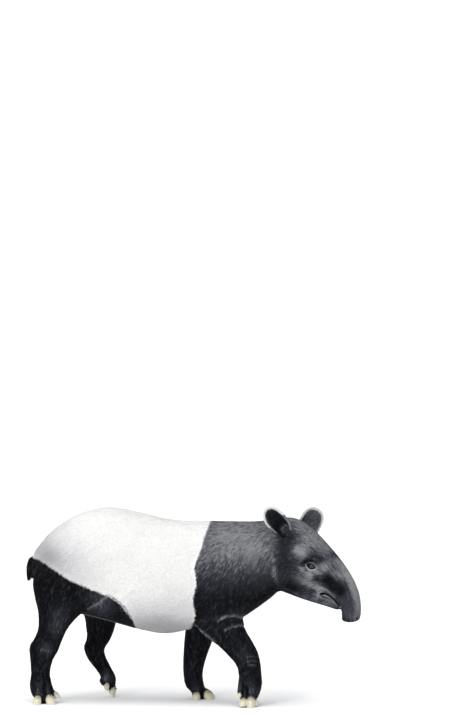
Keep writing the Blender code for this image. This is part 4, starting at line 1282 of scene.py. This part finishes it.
@dataclass(frozen=True)
class SkinFinish:
    """The hide's finish, with the same markings and the same painted light and shade as the coat over it."""

    name: str = "tapir_hide"
    pale: tuple[float, float, float] = (0.520, 0.505, 0.485)
    wet: tuple[float, float, float] = (0.004, 0.004, 0.005)
    border: float = 0.010
    grain_scale: float = 210.0
    stretch: tuple[float, float, float] = (60.0, 160.0, 95.0)
    slope: float = math.radians(-35.0)

    def build(self) -> bpy.types.Material:
        """Builds the material."""
        material, nodes, shader = start_material(self.name)
        where = nodes.add("ShaderNodeTexCoord").outputs["Object"]
        stretch = nodes.add("ShaderNodeMapping")
        nodes.wire(stretch, {"Vector": where, "Scale": self.stretch, "Rotation": (0.0, self.slope, 0.0)})
        hairs = nodes.noise(stretch.outputs[0], 1.0, 5.0)
        coarse = nodes.noise(where, 160.0)
        wander = nodes.math("MULTIPLY", nodes.math("SUBTRACT", coarse, 0.5), 4 * self.border)
        white = nodes.span(nodes.math("ADD", nodes.attribute("edge"), wander), -0.003, 0.003)
        bright = nodes.math("SUBTRACT", 1.0, nodes.attribute("grey"))
        coat = nodes.mix(
            white, hair_colour(nodes, BLACK_TONE, nodes.attribute("light"), hairs, coarse),
            hair_colour(nodes, WHITE_TONE, bright, hairs, coarse),
        )
        grain = nodes.add("ShaderNodeGroup", node_tree=HideGrain().build())
        nodes.wire(grain, {"Vector": where, "Scale": self.grain_scale})
        patchy = nodes.span(grain.outputs["Mask"], 0.25, 0.6, 0.75, 1.0)
        coat = nodes.mix(nodes.math("MULTIPLY", nodes.attribute("pale"), patchy), coat, self.pale)
        bare = nodes.attribute("bare")
        nodes.wire(shader, {
            "Base Color": nodes.mix(bare, coat, self.wet),
            "Roughness": nodes.span(bare, 0.0, 1.0, 0.58, 0.46), "Specular IOR Level": 0.16,
        })
        height = nodes.math("ADD", nodes.math("MULTIPLY", grain.outputs["Height"], 0.5), hairs)
        nodes.bump(shader, height, 0.55, 0.0012)
        return material


@dataclass(frozen=True)
class NailFinish:
    """Pale horn with growth lines, a yellow cast and worn edges."""

    name: str = "nail_horn"
    pale: tuple[float, float, float] = (0.640, 0.610, 0.480)
    stained: tuple[float, float, float] = (0.270, 0.240, 0.150)
    banded: tuple[float, float, float] = (0.30, 0.27, 0.19)

    def build(self) -> bpy.types.Material:
        """Builds the material."""
        material, nodes, shader = start_material(self.name)
        where = nodes.add("ShaderNodeTexCoord").outputs["Object"]
        noise = nodes.noise(where, 60.0, 5.0)
        lines = nodes.add("ShaderNodeTexWave", wave_type="BANDS", bands_direction="Z", wave_profile="SIN")
        nodes.wire(lines, {
            "Vector": where, "Scale": 62.0, "Distortion": 2.4, "Detail": 3.0, "Detail Scale": 2.0,
        })
        fibre = nodes.wire(nodes.add("ShaderNodeMapping"), {"Vector": where, "Scale": (420.0, 420.0, 40.0)})
        threads = nodes.noise(fibre.outputs[0], 1.0)
        patchy = nodes.span(noise, 0.3, 0.7, 0.6, 1.2)
        stain = nodes.math("MULTIPLY", nodes.attribute("stain"), patchy)
        banded = nodes.math("MULTIPLY", lines.outputs["Fac"], 0.16)
        nodes.wire(shader, {
            "Base Color": nodes.mix(banded, nodes.mix(stain, self.pale, self.stained), self.banded),
            "Roughness": nodes.span(noise, 0.3, 0.7, 0.34, 0.52),
        })
        height = nodes.math("ADD", lines.outputs["Fac"], nodes.math("MULTIPLY", threads, 0.5))
        nodes.bump(shader, height, 0.35, 0.0010)
        return material


@dataclass(frozen=True)
class EyeFinish:
    """A dark brown iris round a wide pupil, wet all over, with a pale edge to the white."""

    name: str = "tapir_eye"
    stops: tuple[tuple[float, tuple[float, float, float]], ...] = (
        (0.00, (0.002, 0.002, 0.003)), (0.30, (0.003, 0.003, 0.004)), (0.36, (0.022, 0.015, 0.011)),
        (0.52, (0.030, 0.021, 0.016)), (0.60, (0.003, 0.003, 0.003)), (0.76, (0.010, 0.008, 0.007)),
        (1.00, (0.060, 0.050, 0.045)),
    )

    def build(self) -> bpy.types.Material:
        """Builds the material, which reads the angle from the gaze stored on the ball."""
        material, nodes, shader = start_material(self.name)
        ramp = nodes.add("ShaderNodeValToRGB")
        while len(ramp.color_ramp.elements) < len(self.stops):
            ramp.color_ramp.elements.new(0.5)
        for element, (position, colour) in zip(ramp.color_ramp.elements, self.stops):
            element.position = position
            element.color = (*colour, 1.0)
        noise = nodes.noise(nodes.add("ShaderNodeTexCoord").outputs["Object"], 420.0)
        wander = nodes.math("MULTIPLY", nodes.math("SUBTRACT", noise, 0.5), 0.06)
        nodes.link(nodes.math("ADD", nodes.attribute("gaze"), wander), ramp.inputs[0])
        nodes.wire(shader, {
            "Base Color": ramp.outputs[0], "Roughness": nodes.span(noise, 0.3, 0.7, 0.05, 0.12),
            "Specular IOR Level": 0.05, "Coat Weight": 0.90, "Coat Roughness": 0.03,
        })
        return material


@dataclass
class Eye:
    """One eyeball with its cornea."""

    side: Side
    radius: float = 0.0163
    bulge: float = 0.0009
    cornea_angle: float = 0.62
    gaze: tuple[float, float, float] = (0.30, 0.95, 0.02)
    rings: int = 40
    turns: int = 48

    def build(self, material: bpy.types.Material) -> bpy.types.Object:
        """Builds the ball round its gaze.

        Args:
            material: The eye's finish.

        Returns:
            The finished eyeball.
        """
        middle = eye_middle(self.side)
        look = np.array([[self.gaze[0], self.gaze[1] * self.side.value, self.gaze[2]]])
        _, angle = TURN.straight(np.array(middle)[None, :])
        front = Vector(TURN.turned(look, angle)[0]).normalized()
        spin = front.to_track_quat("Z", "Y")
        work = bmesh.new()
        bmesh.ops.create_uvsphere(work, u_segments=self.turns, v_segments=self.rings, radius=self.radius)
        gazes = []
        for vert in work.verts:
            polar = math.acos(max(-1.0, min(1.0, vert.co.z / self.radius)))
            swell = math.cos(min(1.0, polar / self.cornea_angle) * math.pi / 2) ** 0.8
            vert.co *= 1.0 + self.bulge / self.radius * swell
            vert.co = spin @ vert.co + middle
            gazes.append(min(1.0, polar / 1.15))
        mesh = to_mesh(work, "eyeball")
        write_values(mesh, "gaze", np.array(gazes))
        mesh.shade_smooth()
        mesh.materials.append(material)
        name = self.side.name.lower()
        ball = place("eyeball_" + name, mesh)
        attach(ball, "root")
        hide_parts("eye_" + name)
        return ball


@dataclass
class NailSet:
    """All the nails, rounded from their solids."""

    voxel: float = 0.0013
    rounds: int = 9
    thin_to: int = 60000

    def build(self, material: bpy.types.Material) -> bpy.types.Object:
        """Builds one piece that holds every nail.

        Args:
            material: The horn's finish.

        Returns:
            The finished nails.
        """
        joined = bmesh.new()
        for name in NAILS:
            joined.from_mesh(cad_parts[name].data)
        bmesh.ops.remove_doubles(joined, verts=joined.verts, dist=WELD)
        nails = place("nails", to_mesh(joined, "nails"))
        modify(nails, "REMESH", mode="VOXEL", voxel_size=self.voxel)
        modify(nails, "SMOOTH", factor=0.5, iterations=self.rounds)
        settle(nails)
        share = min(1.0, self.thin_to / (2 * len(nails.data.polygons)))
        modify(nails, "DECIMATE", ratio=share, use_collapse_triangulate=True)
        settle(nails)
        points = read_vectors(nails.data.vertices)
        middles = np.array([np.array(middle_of(name)) for name in NAILS])
        nearest = np.argmin(((points[:, None, :] - middles[None]) ** 2).sum(2), axis=1)
        rise = points[:, 2] - middles[nearest][:, 2]
        write_values(nails.data, "stain", smooth_step(rise, -0.004, 0.020))
        nails.data.shade_smooth()
        nails.data.materials.append(material)
        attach(nails, "root")
        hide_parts(*NAILS)
        return nails


@dataclass(frozen=True)
class TuftTree:
    """The node tree that roots flat tufts on the hide along its lie."""

    name: str = "coat_tufts"

    def build(self, material: bpy.types.Material) -> bpy.types.NodeTree:
        """Builds the tree.

        Args:
            material: The finish that the tree's Set Material starts with.

        Returns:
            A tree with the inputs Geometry, Crowd, Width, Thickness, Lift, Scatter and Seed.
        """
        tree = bpy.data.node_groups.new(self.name, "GeometryNodeTree")
        face = tree.interface
        face.new_socket("Geometry", in_out="INPUT", socket_type="NodeSocketGeometry")
        for name in ("Crowd", "Width", "Thickness", "Lift", "Scatter"):
            face.new_socket(name, in_out="INPUT", socket_type="NodeSocketFloat")
        face.new_socket("Seed", in_out="INPUT", socket_type="NodeSocketInt")
        face.new_socket("Geometry", in_out="OUTPUT", socket_type="NodeSocketGeometry")
        nodes = Nodes(tree)
        given = nodes.add("NodeGroupInput")
        density = self.named(nodes, "density", "FLOAT")
        crowd = nodes.math("MULTIPLY", density, given.outputs["Crowd"])
        scatter = nodes.add("GeometryNodeDistributePointsOnFaces", distribute_method="RANDOM")
        nodes.link(given.outputs["Geometry"], scatter.inputs["Mesh"])
        nodes.link(crowd, scatter.inputs["Density"])
        nodes.link(given.outputs["Seed"], scatter.inputs["Seed"])
        blade = nodes.add("GeometryNodeMeshCone", fill_type="NGON")
        blade.inputs["Vertices"].default_value = 3
        blade.inputs["Side Segments"].default_value = 1
        blade.inputs["Radius Top"].default_value = 0.0
        blade.inputs["Radius Bottom"].default_value = 1.0
        blade.inputs["Depth"].default_value = 1.0
        where = nodes.add("GeometryNodeInputPosition")
        parts = nodes.add("ShaderNodeSeparateXYZ")
        nodes.link(where.outputs[0], parts.inputs[0])
        reach = nodes.add("GeometryNodeStoreNamedAttribute", data_type="FLOAT", domain="POINT")
        reach.inputs["Name"].default_value = "reach"
        nodes.link(blade.outputs["Mesh"], reach.inputs["Geometry"])
        nodes.link(parts.outputs["Z"], reach.inputs["Value"])
        lucky = self.store_luck(nodes, scatter.outputs["Points"])
        turn = self.turn(nodes, given, scatter.outputs["Normal"])
        size = self.size(nodes, given)
        planted = nodes.add("GeometryNodeInstanceOnPoints")
        nodes.link(lucky, planted.inputs["Points"])
        nodes.link(reach.outputs[0], planted.inputs["Instance"])
        nodes.link(turn, planted.inputs["Rotation"])
        nodes.link(size, planted.inputs["Scale"])
        real = nodes.add("GeometryNodeRealizeInstances")
        nodes.link(planted.outputs[0], real.inputs["Geometry"])
        dressed = nodes.add("GeometryNodeSetMaterial")
        dressed.inputs["Material"].default_value = material
        nodes.link(real.outputs[0], dressed.inputs["Geometry"])
        out = nodes.add("NodeGroupOutput")
        nodes.link(dressed.outputs[0], out.inputs["Geometry"])
        return tree

    @staticmethod
    def named(nodes: Nodes, name: str, kind: str) -> bpy.types.NodeSocket:
        """What the hide carries under a name."""
        node = nodes.add("GeometryNodeInputNamedAttribute", data_type=kind)
        node.inputs["Name"].default_value = name
        return node.outputs["Attribute"]

    @staticmethod
    def draw(nodes: Nodes, seed: int, low: float = -1.0, high: float = 1.0) -> bpy.types.NodeSocket:
        """A random number of each tuft."""
        node = nodes.add("FunctionNodeRandomValue", data_type="FLOAT")
        node.inputs[2].default_value = low
        node.inputs[3].default_value = high
        node.inputs["Seed"].default_value = seed
        return node.outputs[1]

    def store_luck(self, nodes: Nodes, points: bpy.types.NodeSocket) -> bpy.types.NodeSocket:
        """Stores a number from 0 to 1 on each root, for its colour."""
        store = nodes.add("GeometryNodeStoreNamedAttribute", data_type="FLOAT", domain="POINT")
        store.inputs["Name"].default_value = "luck"
        nodes.link(points, store.inputs["Geometry"])
        nodes.link(self.draw(nodes, 3, 0.0, 1.0), store.inputs["Value"])
        return store.outputs[0]

    def turn(
        self, nodes: Nodes, given: bpy.types.Node, normal: bpy.types.NodeSocket
    ) -> bpy.types.NodeSocket:
        """Lays each tuft along the lie, a little lifted and scattered, its broad side outward."""
        lie = self.named(nodes, "lie", "FLOAT_VECTOR")
        across = nodes.add("ShaderNodeVectorMath", operation="CROSS_PRODUCT")
        nodes.link(normal, across.inputs[0])
        nodes.link(lie, across.inputs[1])
        swing = nodes.add("ShaderNodeVectorMath", operation="SCALE")
        nodes.link(across.outputs[0], swing.inputs[0])
        turn = nodes.math("MULTIPLY", self.draw(nodes, 11), given.outputs["Scatter"])
        nodes.link(turn, swing.inputs["Scale"])
        lift = nodes.add("ShaderNodeVectorMath", operation="SCALE")
        nodes.link(normal, lift.inputs[0])
        some = nodes.math("MULTIPLY", self.draw(nodes, 12, 0.65, 1.35), given.outputs["Lift"])
        nodes.link(some, lift.inputs["Scale"])
        total = nodes.add("ShaderNodeVectorMath", operation="ADD")
        nodes.link(swing.outputs[0], total.inputs[0])
        nodes.link(lift.outputs[0], total.inputs[1])
        aim = nodes.add("ShaderNodeVectorMath", operation="ADD")
        nodes.link(total.outputs[0], aim.inputs[0])
        nodes.link(lie, aim.inputs[1])
        along = nodes.add("FunctionNodeAlignRotationToVector", axis="Z")
        nodes.link(aim.outputs[0], along.inputs["Vector"])
        back = nodes.add("ShaderNodeVectorMath", operation="SCALE")
        back.inputs["Scale"].default_value = -1.0
        nodes.link(normal, back.inputs[0])
        flat = nodes.add("FunctionNodeAlignRotationToVector", axis="X", pivot_axis="Z")
        nodes.link(along.outputs[0], flat.inputs["Rotation"])
        nodes.link(back.outputs[0], flat.inputs["Vector"])
        return flat.outputs[0]

    def size(self, nodes: Nodes, given: bpy.types.Node) -> bpy.types.NodeSocket:
        """The thickness, width and length of each tuft."""
        length = self.named(nodes, "length", "FLOAT")
        length = nodes.math("MULTIPLY", length, self.draw(nodes, 21, 0.75, 1.15))
        size = nodes.add("ShaderNodeCombineXYZ")
        slim = nodes.math("MULTIPLY", length, given.outputs["Width"])
        nodes.link(nodes.math("MULTIPLY", length, given.outputs["Thickness"]), size.inputs[0])
        nodes.link(nodes.math("MULTIPLY", slim, self.draw(nodes, 22, 0.8, 1.25)), size.inputs[1])
        nodes.link(length, size.inputs[2])
        return size.outputs[0]


@dataclass
class Coat:
    """The short coat: some 380,000 flat tufts in pieces by colour and place."""

    crowd: float = 1.0
    width: float = 0.115
    thickness: float = 0.026
    lift: float = 0.17
    scatter: float = 0.22
    seed: int = 5
    piece_tufts: int = 48000
    border: float = 0.005
    unwrap_faces: int = 7000
    patch: float = 0.003

    def grow(self, hide: bpy.types.Object, material: bpy.types.Material) -> bpy.types.Mesh:
        """Grows all the tufts on the fine hide.

        Args:
            hide: The fine hide, with density, length and lie stored on it.
            material: A finish for the tree's last node.

        Returns:
            One mesh of every tuft.
        """
        tree = TuftTree().build(material)
        grower = hide.modifiers.new("coat", "NODES")
        grower.node_group = tree
        wanted = {
            "Crowd": self.crowd, "Width": self.width, "Thickness": self.thickness,
            "Lift": self.lift, "Scatter": self.scatter, "Seed": self.seed,
        }
        for item in tree.interface.items_tree:
            if item.item_type == "SOCKET" and item.in_out == "INPUT" and item.name in wanted:
                grower[item.identifier] = wanted[item.name]
        hide.update_tag()
        grown = evaluated(hide)
        hide.modifiers.clear()
        return grown

    def unwrap(self, skin: bpy.types.Object) -> tuple[BVHTree, np.ndarray, np.ndarray]:
        """Unwraps a plain copy of the skin for the tufts' places in OFBake.

        Args:
            skin: The finished skin.

        Returns:
            A search tree of the copy, its triangles' corners, and their places in the unwrap.
        """
        plain = place("unwrap", skin.data.copy())
        share = self.unwrap_faces / len(plain.data.polygons)
        modify(plain, "DECIMATE", ratio=share, use_collapse_triangulate=True)
        settle(plain)
        bpy.ops.object.select_all(action="DESELECT")
        bpy.context.view_layer.objects.active = plain
        plain.select_set(True)
        bpy.ops.object.mode_set(mode="EDIT")
        bpy.ops.mesh.select_all(action="SELECT")
        bpy.ops.uv.smart_project(angle_limit=math.radians(66.0), island_margin=0.006)
        bpy.ops.object.mode_set(mode="OBJECT")
        mesh = plain.data
        corners = read(mesh.loops, "vertex_index").reshape(-1, 3)
        places = read(mesh.uv_layers.active.data, "uv", 2, np.float32)
        points = read_vectors(mesh.vertices)
        tree = BVHTree.FromPolygons(points.tolist(), corners.tolist())
        bpy.data.objects.remove(plain)
        return tree, points[corners], places.reshape(-1, 3, 2)

    def root_places(self, roots: np.ndarray, skin: bpy.types.Object) -> np.ndarray:
        """Finds each root's place in the unwrap of the skin's own shape."""
        tree, corners, places = self.unwrap(skin)
        found = [tree.find_nearest(Vector(root)) for root in roots.tolist()]
        index = np.array([hit[2] for hit in found])
        spot = np.array([hit[0][:] for hit in found])
        a, b, c = corners[index].transpose(1, 0, 2)
        ab, ac, ap = b - a, c - a, spot - a
        d00, d01, d11 = (ab * ab).sum(1), (ab * ac).sum(1), (ac * ac).sum(1)
        d20, d21 = (ap * ab).sum(1), (ap * ac).sum(1)
        base = np.maximum(d00 * d11 - d01 * d01, 1e-18)
        v, w = (d11 * d20 - d01 * d21) / base, (d00 * d21 - d01 * d20) / base
        shares = np.clip(np.column_stack([1 - v - w, v, w]), 0.0, 1.0)
        shares /= shares.sum(1, keepdims=True)
        return (places[index] * shares[:, :, None]).sum(1)

    def build(
        self, fine: bpy.types.Object, skin: bpy.types.Object,
        black: bpy.types.Material, white: bpy.types.Material,
    ) -> list[bpy.types.Object]:
        """Grows the coat and parts it into pieces.

        Args:
            fine: The fine hide that the tufts root in.
            skin: The skin that shows, for the unwrap.
            black: The finish of the black coat.
            white: The finish of the white coat.

        Returns:
            The coat's pieces.
        """
        grown = self.grow(fine, black)
        points = read_vectors(grown.vertices).reshape(-1, 4, 3)
        rows = np.arange(len(points))
        faces = read(grown.loops, "vertex_index").reshape(-1, 4, 3) - 4 * rows[:, None, None]
        names = ("light", "grey", "streak", "luck", "reach")
        carried = {name: read_values(grown, name).reshape(-1, 4) for name in names}
        edge = read_values(grown, "edge").reshape(-1, 4)[:, 0]
        bpy.data.meshes.remove(grown)
        tips = np.argmax(carried["reach"], axis=1)
        roots = (points.sum(1) - points[rows, tips]) / 3
        homes = self.root_places(roots, skin)
        is_white = edge + self.border * 2 * (carried["luck"][:, 0] - 0.5) > 0
        log.info("coat: %d tufts, %d of them white", len(points), int(is_white.sum()))
        pieces = []
        for colour, mine, material, slot in (
            ("black", ~is_white, black, Slot.BLACK), ("white", is_white, white, Slot.WHITE),
        ):
            order = np.nonzero(mine)[0]
            order = order[np.argsort(roots[order, 0])]
            for number, chosen in enumerate(np.array_split(order, -(-len(order) // self.piece_tufts))):
                name = f"coat_{colour}_{number + 1}"
                mine_only = {key: value[chosen] for key, value in carried.items()}
                pieces.append(
                    self.piece(name, points[chosen], faces[chosen], homes[chosen], mine_only, material, slot)
                )
        return pieces

    def piece(
        self, name: str, points: np.ndarray, faces: np.ndarray, homes: np.ndarray,
        carried: dict[str, np.ndarray], material: bpy.types.Material, slot: Slot,
    ) -> bpy.types.Object:
        """Makes one piece of the coat from its tufts.

        Args:
            name: The piece's name.
            points: Four points of each tuft.
            faces: Four triangles of each tuft, in its own numbers.
            homes: Each root's place in the unwrap.
            carried: What each point carries for the finish.
            material: The coat's finish.
            slot: The record's slot of that finish. Not used.

        Returns:
            The finished piece.
        """
        count = len(points)
        numbered = (faces + 4 * np.arange(count)[:, None, None]).reshape(-1, 3)
        mesh = triangle_mesh(name, points.reshape(-1, 3), numbered)
        for key, values in carried.items():
            write_values(mesh, key, values.ravel())
        base = points[:, :3].mean(1)[:, None, :]
        wide = points - base
        first = wide[:, 1] - wide[:, 2]
        first /= np.maximum(np.linalg.norm(first, axis=1, keepdims=True), 1e-9)
        aside = np.einsum("nij,nj->ni", wide, first)
        aside = aside / np.maximum(np.abs(aside).max(1, keepdims=True), 1e-9)
        patch = np.stack([aside * 0.5, carried["reach"] - 0.5], axis=2) * self.patch
        spots = (homes[:, None, :] + patch).reshape(-1, 2)
        layer = mesh.uv_layers.new(name="OFBake")
        layer.data.foreach_set("uv", spots[numbered.ravel()].astype(np.float32).ravel())
        mesh.shade_flat()
        mesh.materials.append(material)
        obj = place(name, mesh)
        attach(obj, "root")
        return obj


@dataclass
class Studio:
    """The floor, the soft light and the camera."""

    distance: float = 45.0
    azimuth: float = 8.0
    elevation: float = 6.0
    ground_row: float = 702.0
    middle_row: float = 605.0
    origin_column: float = 194.3
    top_strength: float = 2.52
    front_strength: float = 0.55
    fill: float = 0.58

    def build(self) -> None:
        """Builds all of it."""
        self.floor()
        self.lights()
        self.camera()

    def floor(self) -> None:
        """A wide pale disc."""
        work = bmesh.new()
        bmesh.ops.create_circle(work, cap_ends=True, segments=96, radius=160.0)
        mesh = bpy.data.meshes.new("studio_floor")
        work.to_mesh(mesh)
        work.free()
        material, nodes, shader = start_material("studio_floor")
        noise = nodes.add("ShaderNodeTexNoise")
        noise.inputs["Scale"].default_value = 3.0
        nodes.link(nodes.span(noise.outputs[0], 0.3, 0.7, 0.78, 0.84), shader.inputs["Roughness"])
        shader.inputs["Base Color"].default_value = (0.93, 0.93, 0.93, 1.0)
        shader.inputs["Specular IOR Level"].default_value = 0.1
        mesh.materials.append(material)
        disc = place("studio_floor", mesh)

    def lights(self) -> None:
        """A broad soft lamp overhead, a weak one in front, and an even white surround."""
        scene = bpy.context.scene
        scene.view_settings.view_transform = "Standard"
        world = bpy.data.worlds.new("studio")
        scene.world = world
        world.use_nodes = True
        nodes = Nodes(world.node_tree)
        path = nodes.add("ShaderNodeLightPath")
        soft = nodes.add("ShaderNodeBackground")
        soft.inputs["Color"].default_value = (0.97, 0.98, 1.0, 1.0)
        soft.inputs["Strength"].default_value = self.fill
        seen = nodes.add("ShaderNodeBackground")
        seen.inputs["Color"].default_value = (1.0, 1.0, 1.0, 1.0)
        seen.inputs["Strength"].default_value = 1.0
        mix = nodes.add("ShaderNodeMixShader")
        nodes.link(path.outputs["Is Camera Ray"], mix.inputs[0])
        nodes.link(soft.outputs[0], mix.inputs[1])
        nodes.link(seen.outputs[0], mix.inputs[2])
        out = nodes.add("ShaderNodeOutputWorld")
        nodes.link(mix.outputs[0], out.inputs[0])
        for name, toward, spread_angle, strength in (
            ("overhead", (0.10, 0.35, -1.0), 75.0, self.top_strength),
            ("front", (0.35, 0.80, -0.50), 9.0, self.front_strength),
        ):
            lamp = bpy.data.lights.new(name, "SUN")
            lamp.angle = math.radians(spread_angle)
            lamp.energy = strength
            holder = bpy.data.objects.new(name, lamp)
            holder.rotation_euler = Vector(toward).to_track_quat("-Z", "Y").to_euler()
            scene.collection.objects.link(holder)

    def camera(self) -> None:
        """Sets the camera where the photograph's view and frame need it."""
        across, up = math.radians(self.azimuth), math.radians(self.elevation)
        back = Vector((math.sin(across) * math.cos(up), -math.cos(across) * math.cos(up), math.sin(up)))
        right = Vector((math.cos(across), math.sin(across), 0.0))
        rise = back.cross(right)
        scale = METRES_PER_PIXEL
        middle = rise * ((self.ground_row - self.middle_row) * scale)
        centre = right * ((PHOTO_SIZE[0] / 2 - self.origin_column) * scale)
        centre += rise * ((self.ground_row - PHOTO_SIZE[1] / 2) * scale)
        data = bpy.data.cameras.new("camera")
        data.sensor_fit = "VERTICAL"
        data.sensor_width = data.sensor_height = 36.0
        stand = middle + back * self.distance
        axis = (centre - stand).normalized()
        data.lens = 36.0 * (middle - stand).dot(axis) / (PHOTO_SIZE[1] * scale)
        data.clip_start, data.clip_end = 1.0, 400.0
        camera = bpy.data.objects.new("camera", data)
        camera.location = stand
        camera.rotation_euler = (centre - stand).to_track_quat("-Z", "Y").to_euler()
        bpy.context.scene.collection.objects.link(camera)
        bpy.context.scene.camera = camera


@dataclass
class Tapir:
    """The whole animal."""

    hide: Hide = field(default_factory=Hide)
    face: Face = field(default_factory=Face)
    coat: Coat = field(default_factory=Coat)

    def build(self) -> None:
        """Builds every piece of the animal in order."""
        fine = self.hide.build()
        skin = self.hide.thinned(fine)
        self.face.refine(skin)
        self.face.shape(skin)
        skin.data.shade_smooth()
        skin.data.materials.clear()
        skin.data.materials.append(SkinFinish().build())
        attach(skin, "root")
        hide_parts(*FLESH)
        log.info("skin: %d triangles", len(skin.data.polygons))
        black = HairFinish("black_hair", BLACK_TONE, "light", False, 0.52, 0.05).build()
        white = HairFinish("white_hair", WHITE_TONE, "grey", True, 0.66, 0.12).build()
        for piece in self.coat.build(fine, skin, black, white):
            log.info("%s: %d triangles", piece.name, len(piece.data.polygons))
        bpy.data.objects.remove(fine)
        eye = EyeFinish().build()
        for side in (Side.RIGHT, Side.LEFT):
            log.info("%s done", Eye(side).build(eye).name)
        nails = NailSet().build(NailFinish().build())
        log.info("nails: %d triangles", len(nails.data.polygons))


def main() -> None:
    """Builds the studio and the tapir."""
    logging.basicConfig(level=logging.INFO, format="%(message)s")
    Studio().build()
    Tapir().build()


if __name__ == "__main__":
    main()
